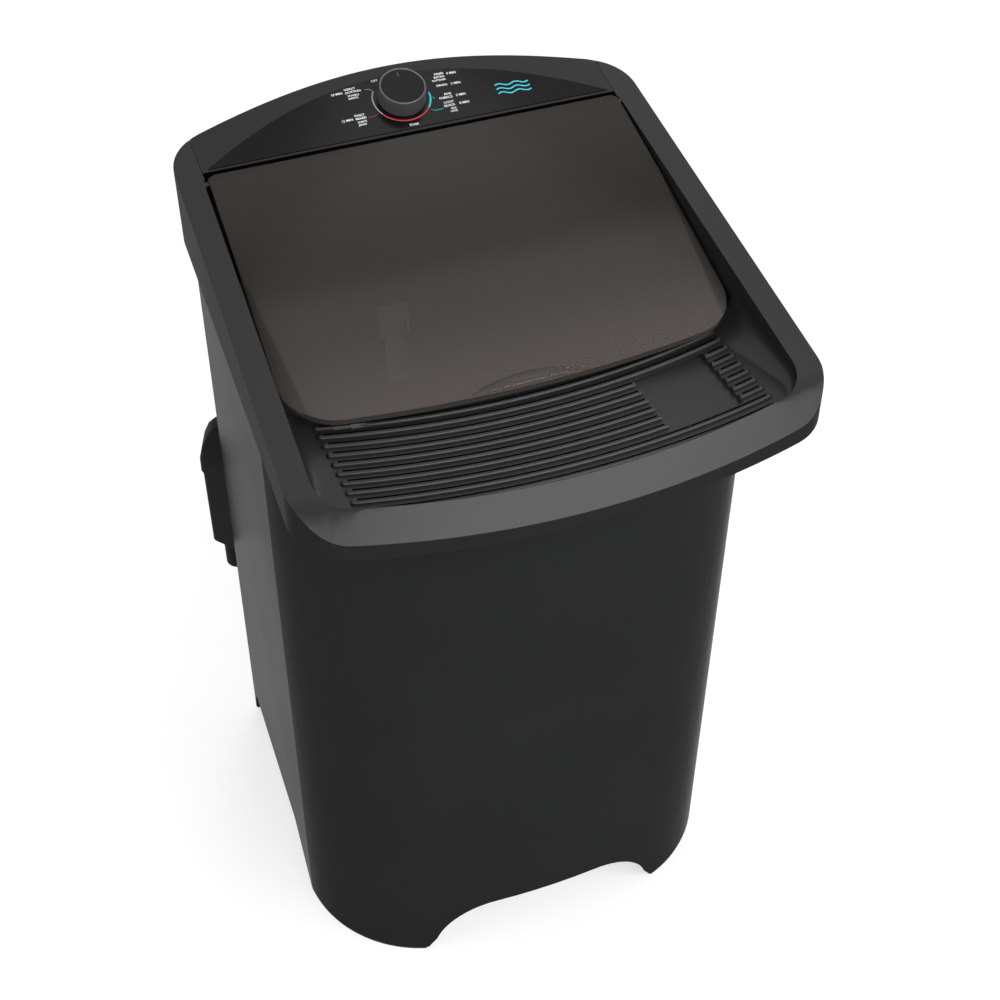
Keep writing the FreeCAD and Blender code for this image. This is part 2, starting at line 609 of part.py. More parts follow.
knob = turned("knob", [
    ("timer_shaft_radius", "0"),
    ("knob_skirt_radius", "0"),
    ("knob_skirt_radius", "knob_height * 0.12"),
    ("knob_radius", "knob_height * 0.2"),
    ("knob_radius - 1", "knob_height - 1.5"),
    ("knob_radius - 2.5", "knob_height"),
    ("0", "knob_height"),
    ("0", "knob_socket"),
    ("timer_shaft_radius", "knob_socket"),
])
knob.Placement = ON_KNOB_AXIS.multiply(Placement(Vector(0, 0, knob_foot), Rotation()))
for path in ("Placement.Base.x", "Placement.Base.y", "Placement.Base.z"):
    knob.setExpression(path, None)
node("knob", knob)

pointer = Part.makeBox(d.pointer_width, d.pointer_length, d.pointer_depth,
                       Vector(-d.pointer_width / 2, d.pointer_start, 0))
pointer.Placement = ON_KNOB_AXIS.multiply(Placement(Vector(0, 0, knob_foot + d.knob_height), Rotation()))
node("knob_pointer", formed("knob_pointer_bar", pointer))


# Washboard: a sloping plate with bowed ribs and a flat soap tray

def above_deck(lift=0.0):
    return slab_above(DECK_FRONT, d.deck_front_height + lift, -d.deck_slope)


def deck_height(y):
    return d.deck_front_height - (y - DECK_FRONT) * math.tan(math.radians(d.deck_slope))


def rib(index):
    """One half-round rib with round ends, lying on the deck before it is tilted."""
    bow = d.rib_bow - index * d.rib_pitch
    half_angle = math.degrees(math.asin(d.rib_length / 2 / bow))
    tube = Part.makeTorus(bow, d.rib_radius, Vector(), UP, -180, 180, 2 * half_angle)
    tube.rotate(Vector(), UP, -90 - half_angle)
    parts = []
    for side in (-1, 1):
        turn = math.radians(-90 + side * half_angle)
        parts.append(Part.makeSphere(d.rib_radius, Vector(bow * math.cos(turn), bow * math.sin(turn), 0)))
    return tube.fuse(parts)


def tray_block(grow, low, high):
    """A block in the tray's outline: straight sides, and front and back arcs that run between two ribs."""
    centre = Vector(0, d.rib_setback + d.rib_bow, low)
    outer = d.rib_bow - (d.tray_skip - 0.5) * d.rib_pitch
    inner = outer - d.tray_span * d.rib_pitch
    ring = Part.makeCylinder(outer + grow, high - low, centre)
    ring = ring.cut(Part.makeCylinder(inner - grow, high - low, centre))
    half = d.tray_width / 2 + grow
    return ring.common(cuboid(d.tray_centre - half, d.tray_centre + half, 0.0, d.rib_bow, low, high))


def make_washboard():
    board = prism(OPENING, d.fit_gap).common(cuboid(-FAR, FAR, -FAR, -d.deck_wing)).cut(prism(TUB))
    plate = board.cut(above_deck()).common(above_deck(-d.deck_thickness))
    lip = board.common(prism(TUB, -d.deck_thickness, d.tub_rim_height)).cut(above_deck())
    tilt = Placement(Vector(0, DECK_FRONT, d.deck_front_height), Rotation(Vector(1, 0, 0), -d.deck_slope))
    tray = tray_block(0.0, -d.tray_depth, d.rib_bow)
    pan = tray_block(d.deck_thickness, -d.tray_depth - d.deck_thickness, 0.0)
    ribs = []
    for index in range(int(d.rib_count)):
        piece = rib(index)
        piece.translate(Vector(0, d.rib_setback + d.rib_bow, 0))
        ribs.append(piece)
    for shape in ribs + [tray, pan]:
        shape.Placement = tilt.multiply(shape.Placement)
    ribs = [piece.common(above_deck(-d.deck_thickness / 2)).common(board) for piece in ribs]
    return plate.fuse([lip, pan] + ribs).cut(tray).removeSplitter()


node("washboard", formed("washboard_plate", make_washboard()))


# Lid, its hinge pins and its path

HINGE_Y = d.opening_back - d.hinge_setback
HINGE_Z = rim_height(HINGE_Y) - d.hinge_drop
AT_HINGE = Placement(Vector(0, HINGE_Y, HINGE_Z), Rotation(Vector(1, 0, 0), d.lid_slope))


def opening_half(y):
    return frame_width(y) / 2 - d.side_band


LID_FRONT_Y = DECK_FRONT + d.lid_reveal
LID_LENGTH = (HINGE_Y - LID_FRONT_Y) / math.cos(math.radians(d.lid_slope))
LID = plan(2 * (opening_half(LID_FRONT_Y) - d.lid_gap), 2 * (opening_half(HINGE_Y) - d.lid_gap),
           -LID_LENGTH, d.lid_tail, d.lid_bow, STRAIGHT, d.lid_corner, d.opening_back_corner)
PIN_OUTER = opening_half(HINGE_Y)
BARREL_INNER = PIN_OUTER - d.lid_gap - d.hinge_barrel_length


def lid_half(y):
    """Half of the lid's width at y from the hinge axis."""
    share = (y - LID.front) / (LID.back - LID.front)
    return (LID.front_width + (LID.back_width - LID.front_width) * share) / 2


def beside_lid(inset, drop, slope):
    """Both sides of the lid, outside the facets' inner lines and above planes that fall from there."""
    top = d.hinge_pin_radius + d.lid_thickness
    start = Vector(lid_half(-d.facet_start), -d.facet_start, top)
    end = Vector(lid_half(-d.facet_end) - d.facet_width, -d.facet_end, top)
    along = (end - start).normalize()
    outwards = Vector(-along.y, along.x, 0)
    reach = outwards * d.lid_corner - UP * d.lid_corner * math.tan(math.radians(slope))
    foot = start - outwards * inset - UP * drop - along * LID_LENGTH
    points = [foot, foot + reach, foot + reach + UP * LID_LENGTH, foot + UP * LID_LENGTH]
    right = Part.Face(Part.makePolygon(points + points[:1])).extrude(along * 3 * LID_LENGTH)
    return right.fuse(right.mirror(Vector(), Vector(1, 0, 0)))


def make_lid():
    low, high = d.hinge_pin_radius, d.hinge_pin_radius + d.lid_thickness
    lid = prism(LID, 0.0, low, high)
    deep = prism(LID, 0.0, low - d.lid_lip, low)
    lip = deep.cut(prism(LID, d.lid_lip_wall, low - d.lid_lip, low))
    lip = lip.common(cuboid(-FAR, FAR, -FAR, -LID_LENGTH + d.lid_corner, -FAR, FAR))
    border = deep.common(beside_lid(d.lid_lip_wall, d.lid_thickness + d.lid_lip, 0.0))
    lid = lid.fuse([lip, border]).cut(beside_lid(0.0, 0.0, d.facet_slope))
    barrels = []
    for side in (-1, 1):
        start = Vector(side * BARREL_INNER, 0, 0)
        barrels.append(Part.makeCylinder(d.hinge_barrel_radius, d.hinge_barrel_length, start,
                                         Vector(side, 0, 0)))
    lid = lid.fuse(barrels)
    bores = []
    for side in (-1, 1):
        start = Vector(side * (BARREL_INNER - d.seam_gap), 0, 0)
        bores.append(Part.makeCylinder(d.hinge_pin_radius + d.running_gap, FAR, start, Vector(side, 0, 0)))
    lid = lid.cut(bores[0]).cut(bores[1]).removeSplitter()
    lid.Placement = AT_HINGE
    return lid


node("lid", formed("lid_panel", make_lid()))

pins = []
for side in (-1, 1):
    start = Vector(side * (PIN_OUTER + d.frame_wall), HINGE_Y, HINGE_Z)
    pins.append(Part.makeCylinder(d.hinge_pin_radius, d.frame_wall + d.hinge_pin_length, start,
                                  Vector(-side, 0, 0)))
node("lid_hinge_pins", formed("lid_hinge_pin_pair", Part.makeCompound(pins)))
top_frame.Shape = top_frame.Shape.cut(pins[0]).cut(pins[1])


# Cabinet: a drafted shell with arched lower edges, foot flanges and wall bosses

def cabinet_solid(inset=0.0):
    lower = plan_wire(BASE, inset, d.pad_thickness)
    upper = plan_wire(TOP, inset, d.pad_thickness + d.draft_height)
    return Part.makeLoft([lower, upper], True, True)


def cabinet_tall(inset=0.0):
    """The drafted solid, carried straight up to above the rim."""
    top = d.pad_thickness + d.draft_height
    return cabinet_solid(inset).fuse(prism(TOP, inset, top, FAR)).removeSplitter()


def front_arch():
    """Flat at its top with round shoulders, and flared at its feet."""
    half, radius = d.arch_half_span, d.arch_round
    tunnel = cuboid(-half, half, -FAR, 0, -radius, d.arch_height)
    shoulders = [edge for edge in tunnel.Edges
                 if edge.BoundBox.ZMin > d.arch_height - TOUCH and edge.BoundBox.XLength < TOUCH]
    tunnel = tunnel.makeFillet(radius, shoulders)
    rise = d.arch_flare_height - (d.arch_height - radius)
    reach = half - radius + math.sqrt(radius ** 2 - rise ** 2)
    foot = half + d.arch_flare
    points = [Vector(-foot, -FAR, 0), Vector(-reach, -FAR, d.arch_flare_height),
              Vector(reach, -FAR, d.arch_flare_height), Vector(foot, -FAR, 0)]
    flare = Part.Face(Part.makePolygon(points + points[:1])).extrude(BACK * FAR)
    return tunnel.fuse(flare)


def side_arch():
    """Cuts both side walls from foot to foot, with sloping ends rounded into its flat top."""
    front, back = -d.foot_front, d.foot_back
    points = [Vector(-FAR, front, 0), Vector(-FAR, front + d.side_arch_rise, d.side_arch_height),
              Vector(-FAR, back - d.side_arch_fall, d.side_arch_height), Vector(-FAR, back, 0)]
    tunnel = Part.Face(Part.makePolygon(points + points[:1])).extrude(Vector(2 * FAR, 0, 0))
    shoulders = [edge for edge in tunnel.Edges
                 if edge.BoundBox.ZMin > d.side_arch_height - TOUCH and edge.BoundBox.YLength < TOUCH]
    return tunnel.makeFillet(d.side_arch_round, shoulders)


def corner_zones():
    """Four boxes that hold the corner feet in plan, below the arches."""
    zones = []
    for side in (-1, 1):
        for low, high in ((-FAR, -d.foot_front), (d.foot_back, FAR)):
            inner = d.arch_half_span + d.arch_flare if low == -FAR else d.back_arch_half_span
            x_low, x_high = sorted((side * inner, side * FAR))
            zones.append(cuboid(x_low, x_high, low, high, 0, d.back_arch_height))
    return zones


RAIL_Y = [d.agitator_setback - d.rail_spread, d.agitator_setback + d.rail_spread]


def make_cabinet():
    outer, inner = cabinet_tall(), cabinet_tall(d.cabinet_wall)
    shell = outer.cut(inner)
    ring = prism(OPENING, -d.frame_wall - d.fit_gap, d.tub_rim_height)
    ring = ring.cut(prism(OPENING, d.fit_gap, d.tub_rim_height))
    pan_depth = (d.deck_thickness + d.tray_depth) / math.cos(math.radians(d.deck_slope))
    under_deck = prism(OPENING, d.fit_gap).common(above_deck(-pan_depth))
    shell = shell.cut(above_rim(d.frame_wall)).cut(ring).cut(under_deck)
    console_floor = cuboid(-FAR, FAR, d.opening_back, FAR).common(above_rim(d.console_depth + d.frame_wall))
    shell = shell.cut(console_floor)
    margin = d.service_margin
    service = cuboid(margin - d.cover_left, d.cover_right - margin, d.opening_back, FAR,
                     d.cover_level + margin, d.cover_level + d.cover_height - margin)
    half = d.back_arch_half_span
    back_arch = cuboid(-half, half, d.side_wall_back, FAR, 0, d.back_arch_height)
    shell = shell.cut(service).cut(front_arch()).cut(side_arch()).cut(back_arch)
    flange_high = d.pad_thickness + d.cabinet_wall
    flange = prism(BASE, d.cabinet_wall / 2, d.pad_thickness, flange_high)
    flange = flange.cut(prism(BASE, d.foot_flange, d.pad_thickness, flange_high)).common(cabinet_solid())
    additions = [flange.common(zone) for zone in corner_zones()]
    for rail_y in RAIL_Y:
        for side in (-1, 1):
            reach = d.base_back_width / 2 - d.cabinet_wall - d.boss_length
            x_low, x_high = sorted((side * reach, side * FAR))
            boss = cuboid(x_low, x_high, rail_y - d.rail_width / 2, rail_y + d.rail_width / 2,
                          d.rail_level - d.boss_height, d.rail_level)
            additions.append(boss.common(cabinet_solid(d.cabinet_wall / 2)))
    return shell.fuse(additions).removeSplitter()


pad_ring = prism(BASE, 1.0, 0, d.pad_thickness).cut(prism(BASE, d.foot_flange, 0, d.pad_thickness))
pads = []
for zone in corner_zones():
    pads.append(pad_ring.common(zone))
node("foot_pads", formed("foot_pad_set", Part.makeCompound(pads)))


# Tub with a rounded floor and a flange under the frame's inner wall

def tub_solid(inset, low):
    solid = prism(TUB, inset, low, d.tub_rim_height)
    edges = [edge for edge in solid.Edges if edge.BoundBox.ZMax < low + TOUCH]
    return solid.makeFillet(d.tub_round - inset, edges)


def make_tub():
    tub = tub_solid(-d.tub_wall, d.tub_floor - d.tub_wall)
    flange = prism(TUB, -d.tub_flange, d.tub_rim_height - d.tub_flange_thickness, d.tub_rim_height)
    tub = tub.fuse(flange).cut(tub_solid(0.0, d.tub_floor))
    tub = tub.cut(Part.makeCylinder(d.seal_radius, FAR, Vector(0, d.agitator_setback, 0)))
    return tub.cut(Part.makeCylinder(d.drain_radius, FAR, Vector(-d.drain_side, d.drain_back, 0)))


node("tub", formed("tub_shell", make_tub()))


# Agitator drive: shaft, seal, bearing housing, bushes, bolts, pulley and nut

UNDER_TUB = "tub_floor - tub_wall"
HOUSING_LOW = "tub_floor - tub_wall - housing_length"
PULLEY_LOW = "tub_floor - tub_wall - housing_length - pulley_gap - pulley_height"

node("bearing_housing", turned("bearing_housing", [
    ("bush_radius", "0"),
    ("housing_radius", "0"),
    ("housing_radius", "housing_length - housing_flange"),
    ("housing_flange_radius", "housing_length - housing_flange"),
    ("housing_flange_radius", "housing_length"),
    ("bush_radius", "housing_length"),
], y=AXIS_Y, z=HOUSING_LOW))
BUSH = [
    ("drive_shaft_radius + running_gap", "0"),
    ("bush_radius", "0"),
    ("bush_radius", "bush_length"),
    ("drive_shaft_radius + running_gap", "bush_length"),
]
node("lower_bush", turned("lower_bush", BUSH, y=AXIS_Y, z=HOUSING_LOW))
node("upper_bush", turned("upper_bush", BUSH, y=AXIS_Y, z=UNDER_TUB + " - bush_length"))
node("shaft_seal", turned("shaft_seal", [
    ("drive_shaft_radius + running_gap", "0"),
    ("seal_radius", "0"),
    ("seal_radius", "tub_wall"),
    ("drive_shaft_radius + 2", "seal_height"),
    ("drive_shaft_radius + running_gap", "seal_height"),
], y=AXIS_Y, z=UNDER_TUB))
bolts = []
for x_sign in ("-", ""):
    for y_sign in ("-", "+"):
        bolts.append(rod(f"housing_bolt_{len(bolts)}", f"{x_sign}bolt_circle * {DIAGONAL}",
                         f"{AXIS_Y} {y_sign} bolt_circle * {DIAGONAL}",
                         UNDER_TUB + " - housing_flange - bolt_head", "bolt_radius", "bolt_head"))
node("housing_bolts", fuse("housing_bolt_set", *bolts))
HUB_SOCKET = "agitator_hub_height * 0.7"
SHAFT_LENGTH = (f"nut_height + pulley_height + pulley_gap + housing_length + tub_wall + agitator_gap"
                f" + {HUB_SOCKET}")
node("agitator_shaft", rod("agitator_shaft", "0", AXIS_Y, PULLEY_LOW + " - nut_height",
                           "drive_shaft_radius", SHAFT_LENGTH))


def pulley(name, radius, bore, x):
    """A flat pulley with a belt groove; the groove's flanks slope like the belt's."""
    middle = "pulley_height / 2"
    return turned(name, [
        (bore, "0"),
        (radius, "0"),
        (radius, f"{middle} - groove_width / 2"),
        (f"{radius} - groove_depth", f"{middle} - groove_floor / 2"),
        (f"{radius} - groove_depth", f"{middle} + groove_floor / 2"),
        (radius, f"{middle} + groove_width / 2"),
        (radius, "pulley_height"),
        (bore, "pulley_height"),
    ], x=x, y=AXIS_Y, z=PULLEY_LOW)


node("driven_pulley", pulley("driven_pulley", "pulley_radius", "drive_shaft_radius", "0"))
node("pulley_nut", turned("pulley_nut", [
    ("drive_shaft_radius", "0"),
    ("nut_radius", "0"),
    ("nut_radius", "nut_height"),
    ("drive_shaft_radius", "nut_height"),
], y=AXIS_Y, z=PULLEY_LOW + " - nut_height"))

agitator_disc = turned("agitator_disc", [
    ("drive_shaft_radius", "0"),
    (AGITATOR_RADIUS + " - agitator_chamfer", "0"),
    (AGITATOR_RADIUS, "agitator_chamfer"),
    (AGITATOR_RADIUS, "agitator_rim"),
    ("agitator_hub_radius + cone_reach", "agitator_rim + cone_rise"),
    ("agitator_hub_radius", "agitator_hub_height * 0.5"),
    ("agitator_hub_radius * 0.55", "agitator_hub_height"),
    ("0", "agitator_hub_height"),
    ("0", HUB_SOCKET),
    ("drive_shaft_radius", HUB_SOCKET),
])
vanes = []
for index in range(int(d.vane_count)):
    vane = block(f"agitator_vane_{index}", "0", "0", "agitator_rim / 2", AGITATOR_RADIUS + " - vane_inset",
                 "vane_thickness", "vane_height - agitator_rim / 2")
    turn = 360.0 * index / d.vane_count
    vane.Placement.Rotation = Rotation(UP, turn)
    offset = Rotation(UP, turn).multVec(Vector(0, -0.5, 0))
    bind(vane, Placement__Base__x=f"vane_thickness * {offset.x:.6f}",
         Placement__Base__y=f"vane_thickness * {offset.y:.6f}")
    vanes.append(vane)
vane_hole = rod("agitator_bore", "0", "0", "0", "drive_shaft_radius", HUB_SOCKET)
agitator = cut("agitator_cut", fuse("agitator_union", agitator_disc, *vanes), vane_hole)
bind(agitator, Placement__Base__y=AXIS_Y, Placement__Base__z="tub_floor + agitator_gap")
node("agitator", agitator)


# Base rails, motor plate, motor and capacitor

def make_rails():
    rails = []
    for rail_y in RAIL_Y:
        rail = cuboid(-FAR, FAR, rail_y - d.rail_width / 2, rail_y + d.rail_width / 2,
                      d.rail_level, d.rail_level + d.rail_height)
        rails.append(rail.common(cabinet_solid(d.cabinet_wall + d.fit_gap)))
    return Part.makeCompound(rails)


node("base_rails", formed("base_rail_pair", make_rails()))
RAIL_TOP = "rail_level + rail_height"
rail_bolts = []
for x_sign in ("-", ""):
    for y_sign in ("-", "+"):
        rail_bolts.append(rod(f"rail_bolt_{len(rail_bolts)}",
                              f"{x_sign}{RAIL_BOLT_X}",
                              f"{AXIS_Y} {y_sign} rail_spread", RAIL_TOP, "bolt_radius", "bolt_head"))
node("rail_bolts", fuse("rail_bolt_set", *rail_bolts))

PLATE_TOP = RAIL_TOP + " + plate_thickness"
CAP_LOW = PLATE_TOP + " + mount_height"
MOTOR_LOW = CAP_LOW + " + cap_thickness"
PLATE_LEFT = "motor_offset - capacitor_offset - capacitor_radius - clip_wall - clip_flange - plate_margin"
node("motor_plate", block("motor_plate", PLATE_LEFT, AXIS_Y + " - rail_spread - rail_width / 2", RAIL_TOP,
                          f"{RAIL_BOLT_X} - bolt_radius - plate_gap - ({PLATE_LEFT})",
                          "2 * rail_spread + rail_width", "plate_thickness"))
mounts = []
for x_sign in ("-", "+"):
    for y_sign in ("-", "+"):
        mounts.append(rod(f"motor_mount_{len(mounts)}", f"motor_offset {x_sign} mount_circle * {DIAGONAL}",
                          f"{AXIS_Y} {y_sign} mount_circle * {DIAGONAL}", PLATE_TOP,
                          "mount_radius", "mount_height"))
node("motor_mounts", fuse("motor_mount_set", *mounts))
node("motor_end_cap", turned("motor_end_cap", [
    ("0", "0"),
    ("cap_radius", "0"),
    ("cap_radius", "cap_thickness"),
    ("motor_bush_radius + cap_boss", "cap_thickness"),
    ("motor_bush_radius + cap_boss", "cap_thickness + motor_bush_length"),
    ("motor_bush_radius", "cap_thickness + motor_bush_length"),
    ("motor_bush_radius", "cap_thickness"),
    ("0", "cap_thickness"),
], x="motor_offset", y=AXIS_Y, z=CAP_LOW))
node("motor_housing", turned("motor_housing", [
    ("motor_radius - motor_wall", "0"),
    ("motor_radius", "0"),
    ("motor_radius", "motor_length - motor_chamfer"),
    ("motor_radius - motor_chamfer", "motor_length"),
    ("motor_bush_radius", "motor_length"),
    ("motor_bush_radius", "motor_length - motor_bush_length"),
    ("motor_radius - motor_wall", "motor_length - motor_bush_length"),
], x="motor_offset", y=AXIS_Y, z=MOTOR_LOW))
MOTOR_BUSH = [
    ("motor_shaft_radius + running_gap", "0"),
    ("motor_bush_radius", "0"),
    ("motor_bush_radius", "motor_bush_length"),
    ("motor_shaft_radius + running_gap", "motor_bush_length"),
]
node("lower_motor_bush", turned("lower_motor_bush", MOTOR_BUSH, x="motor_offset", y=AXIS_Y, z=MOTOR_LOW))
node("upper_motor_bush", turned("upper_motor_bush", MOTOR_BUSH, x="motor_offset", y=AXIS_Y,
                                z=MOTOR_LOW + " + motor_length - motor_bush_length"))
STACK_LOW = MOTOR_LOW + " + (motor_length - stator_length) / 2"
node("stator", turned("stator", [
    ("rotor_radius + air_gap", "0"),
    ("motor_radius - motor_wall", "0"),
    ("motor_radius - motor_wall", "stator_length"),
    ("rotor_radius + air_gap", "stator_length"),
], x="motor_offset", y=AXIS_Y, z=STACK_LOW))
node("rotor", turned("rotor", [
    ("motor_shaft_radius", "0"),
    ("rotor_radius", "0"),
    ("rotor_radius", "stator_length"),
    ("motor_shaft_radius", "stator_length"),
], x="motor_offset", y=AXIS_Y, z=STACK_LOW))
SHAFT_LOW = MOTOR_LOW + " + fit_gap"
node("motor_shaft", rod("motor_shaft", "motor_offset", AXIS_Y, SHAFT_LOW, "motor_shaft_radius",
                        f"{PULLEY_LOW} + pulley_height - ({SHAFT_LOW})"))
FAN_LOW = MOTOR_LOW + " + motor_length + fan_gap"
fan_hub = turned("fan_hub", [
    ("motor_shaft_radius", "0"),
    ("fan_radius", "0"),
    ("fan_radius", "fan_plate"),
    ("motor_shaft_radius + fan_hub_wall", "fan_plate"),
    ("motor_shaft_radius + fan_hub_wall", "fan_height"),
    ("motor_shaft_radius", "fan_height"),
])
blades = []
BLADE_START = "(motor_shaft_radius + fan_hub_wall - fan_plate / 2)"
BLADE_LENGTH = f"fan_radius - {BLADE_START} - fan_plate / 2"
for index in range(int(d.fan_blades)):
    blade = block(f"fan_blade_{index}", "0", "0", "fan_plate / 2", BLADE_LENGTH, "fan_plate",
                  "fan_height - fan_plate / 2")
    turn = 360.0 * index / d.fan_blades
    blade.Placement.Rotation = Rotation(UP, turn)
    along = Rotation(UP, turn).multVec(Vector(1, 0, 0))
    bind(blade, Placement__Base__x=f"{BLADE_START} * {along.x:.6f}",
         Placement__Base__y=f"{BLADE_START} * {along.y:.6f}")
    blades.append(blade)
fan = fuse("fan_union", fan_hub, *blades)
bind(fan, Placement__Base__x="motor_offset", Placement__Base__y=AXIS_Y, Placement__Base__z=FAN_LOW)
node("motor_fan", fan)
node("motor_pulley", pulley("motor_pulley", "motor_pulley_radius", "motor_shaft_radius", "motor_offset"))


def belt_outline(extra, z):
    """Two arcs and the two straight runs that touch them, round both grooves."""
    big = d.pulley_radius - d.groove_depth + d.belt_gap + extra
    small = d.motor_pulley_radius - d.groove_depth + d.belt_gap + extra
    lean = math.acos((big - small) / d.motor_offset)

    def on(radius, x, turn):
        return Vector(x + radius * math.cos(turn), d.agitator_setback + radius * math.sin(turn), z)

    big_top, big_low = on(big, 0, lean), on(big, 0, -lean)
    small_top, small_low = on(small, d.motor_offset, lean), on(small, d.motor_offset, -lean)
    edges = [
        Part.Arc(big_top, on(big, 0, math.pi), big_low),
        Part.LineSegment(big_low, small_low),
        Part.Arc(small_low, on(small, d.motor_offset, 0), small_top),
        Part.LineSegment(small_top, big_top),
    ]
    return Part.Face(Part.Wire([edge.toShape() for edge in edges]))


pulley_low = d.tub_floor - d.tub_wall - d.housing_length - d.pulley_gap - d.pulley_height
belt_low = pulley_low + (d.pulley_height - d.belt_width) / 2
belt = belt_outline(d.belt_thickness, belt_low).cut(belt_outline(0.0, belt_low)).extrude(UP * d.belt_width)
node("drive_belt", formed("drive_belt_loop", belt))

CAPACITOR_X = "motor_offset - capacitor_offset"
node("capacitor", turned("capacitor", [
    ("0", "0"),
    ("capacitor_radius", "0"),
    ("capacitor_radius", "capacitor_height - capacitor_chamfer"),
    ("capacitor_radius - capacitor_chamfer", "capacitor_height"),
    ("0", "capacitor_height"),
], x=CAPACITOR_X, y=AXIS_Y, z=PLATE_TOP))
node("capacitor_clip", turned("capacitor_clip", [
    ("capacitor_radius", "0"),
    ("capacitor_radius + clip_wall + clip_flange", "0"),
    ("capacitor_radius + clip_wall + clip_flange", "clip_wall"),
    ("capacitor_radius + clip_wall", "clip_wall"),
    ("capacitor_radius + clip_wall", "clip_height"),
    ("capacitor_radius", "clip_height"),
], x=CAPACITOR_X, y=AXIS_Y, z=PLATE_TOP))


# Drain: spigot under the tub, inner hose and outlet through the back wall

PIPE = d.drain_radius + d.drain_wall
node("drain_spigot", turned("drain_spigot", [
    ("drain_radius", "0"),
    ("drain_radius + drain_wall", "0"),
    ("drain_radius + drain_wall", "elbow_length - spigot_plate"),
    ("drain_radius + drain_wall + spigot_flange", "elbow_length - spigot_plate"),
    ("drain_radius + drain_wall + spigot_flange", "elbow_length"),
    ("drain_radius", "elbow_length"),
], x="-drain_side", y="drain_back", z=UNDER_TUB + " - elbow_length"))

hose_top = d.tub_floor - d.tub_wall - d.elbow_length
OUTLET_Z = hose_top - d.hose_drop - d.hose_bend


def cabinet_back(x, z, inset):
    """Where a line along Y at (x, z) leaves the cabinet's drafted solid."""
    probe = Part.makeLine(Vector(x, 0, z), Vector(x, FAR, z)).common(cabinet_solid(inset))
    return probe.BoundBox.YMax


OUTLET_INNER = cabinet_back(-d.drain_side, OUTLET_Z, d.cabinet_wall) - d.outlet_flange


def make_drain_hose():
    x, y, bend = -d.drain_side, d.drain_back, d.hose_bend
    start = Vector(x, y, hose_top)
    drop = Vector(x, y, hose_top - d.hose_drop)
    centre = drop + Vector(0, bend, 0)
    middle = centre + Vector(0, -bend * math.sqrt(0.5), -bend * math.sqrt(0.5))
    turn_end = centre - Vector(0, 0, bend)
    end = Vector(x, OUTLET_INNER, turn_end.z)
    path = Part.Wire([Part.LineSegment(start, drop).toShape(), Part.Arc(drop, middle, turn_end).toShape(),
                      Part.LineSegment(turn_end, end).toShape()])
    tubes = []
    for radius in (PIPE, d.drain_radius):
        ring = Part.Wire(Part.makeCircle(radius, start, Vector(0, 0, -1)))
        tubes.append(path.makePipeShell([ring], True, False))
    return tubes[0].cut(tubes[1])


def through_back(x, z, radius, inner_y, flange, length, bore):
    """A fitting along Y through the back wall, with a flange seated on the wall's outside."""
    wall_y = cabinet_back(x, z, 0.0)
    tube = Part.makeCylinder(radius, wall_y + length - inner_y, Vector(x, inner_y, z), BACK)
    collar = Part.makeCylinder(radius + flange, wall_y + flange - inner_y, Vector(x, inner_y, z), BACK)
    collar = collar.cut(cabinet_solid())
    hole = Part.makeCylinder(bore, FAR, Vector(x, inner_y - 1, z), BACK)
    return tube.fuse(collar).cut(hole)


node("drain_hose", formed("drain_hose_tube", make_drain_hose()))
outlet = through_back(-d.drain_side, OUTLET_Z, PIPE, OUTLET_INNER, d.outlet_flange, d.outlet_length,
                      d.drain_radius)
node("drain_outlet", formed("drain_outlet_fitting", outlet))
gland_inner = cabinet_back(d.gland_side, d.gland_level, d.cabinet_wall) - d.outlet_flange
gland = through_back(d.gland_side, d.gland_level, d.gland_radius, gland_inner, d.outlet_flange / 2,
                     d.gland_length, d.gland_bore)
node("cable_gland", formed("cable_gland_fitting", gland))


def make_cabinet_walls():
    """The shell, holed for the outlet and the gland, as front with corners, two sides and back."""
    shell = make_cabinet()
    for x, z, radius in ((-d.drain_side, OUTLET_Z, PIPE), (d.gland_side, d.gland_level, d.gland_radius)):
        shell = shell.cut(Part.makeCylinder(radius, FAR, Vector(x, d.opening_back, z), BACK))
    front, back = d.side_wall_front, d.side_wall_back
    return {
        "cabinet_front": shell.common(cuboid(-FAR, FAR, -FAR, front)),
        "cabinet_left_side": shell.common(cuboid(-FAR, 0, front, back)),
        "cabinet_right_side": shell.common(cuboid(0, FAR, front, back)),
        "cabinet_back": shell.common(cuboid(-FAR, FAR, back, FAR)),
    }


for name, wall in make_cabinet_walls().items():
    node(name, formed(name + "_wall", wall))


# Hose holder and its cap on the back wall, rear cover and screws

def upright_round(shape, radius):
    """Rounds the free upright edges of a box-like solid."""
    edges = [edge for edge in shape.Edges if abs(edge.Vertexes[0].X - edge.Vertexes[-1].X) < TOUCH
             and abs(edge.Vertexes[0].Y - edge.Vertexes[-1].Y) < TOUCH]
    return shape.makeFillet(radius, edges)


HOLDER_TOP = d.holder_level + d.holder_height


def holder_block(grow, low, high):
    """An upright block in the holder's plan: its left corner stands out between two slanting faces."""
    left, right = -d.holder_left - grow, -d.holder_left + d.holder_width + grow
    front, back = d.holder_front - grow, d.holder_reach - d.cap_rim + grow
    points = [
        Vector(left, d.back_reach - d.holder_nose, low),
        Vector(left + d.holder_sweep, front, low),
        Vector(right, front, low),
        Vector(right, back, low),
        Vector(left + d.holder_lean, back, low),
    ]
    solid = Part.Face(Part.makePolygon(points + points[:1])).extrude(UP * (high - low))
    return upright_round(solid, d.holder_round + grow)


def make_holder():
    box = holder_block(0.0, d.holder_level, HOLDER_TOP)
    spout_x = -d.holder_left + d.holder_lean + d.spout_radius
    spout_y = d.holder_reach - d.cap_rim - d.spout_radius - d.holder_round
    foot = Vector(spout_x, spout_y, d.holder_level - d.spout_length)
    spout = Part.makeCylinder(d.spout_radius, d.spout_length, foot)
    return box.fuse(spout).cut(cabinet_solid())


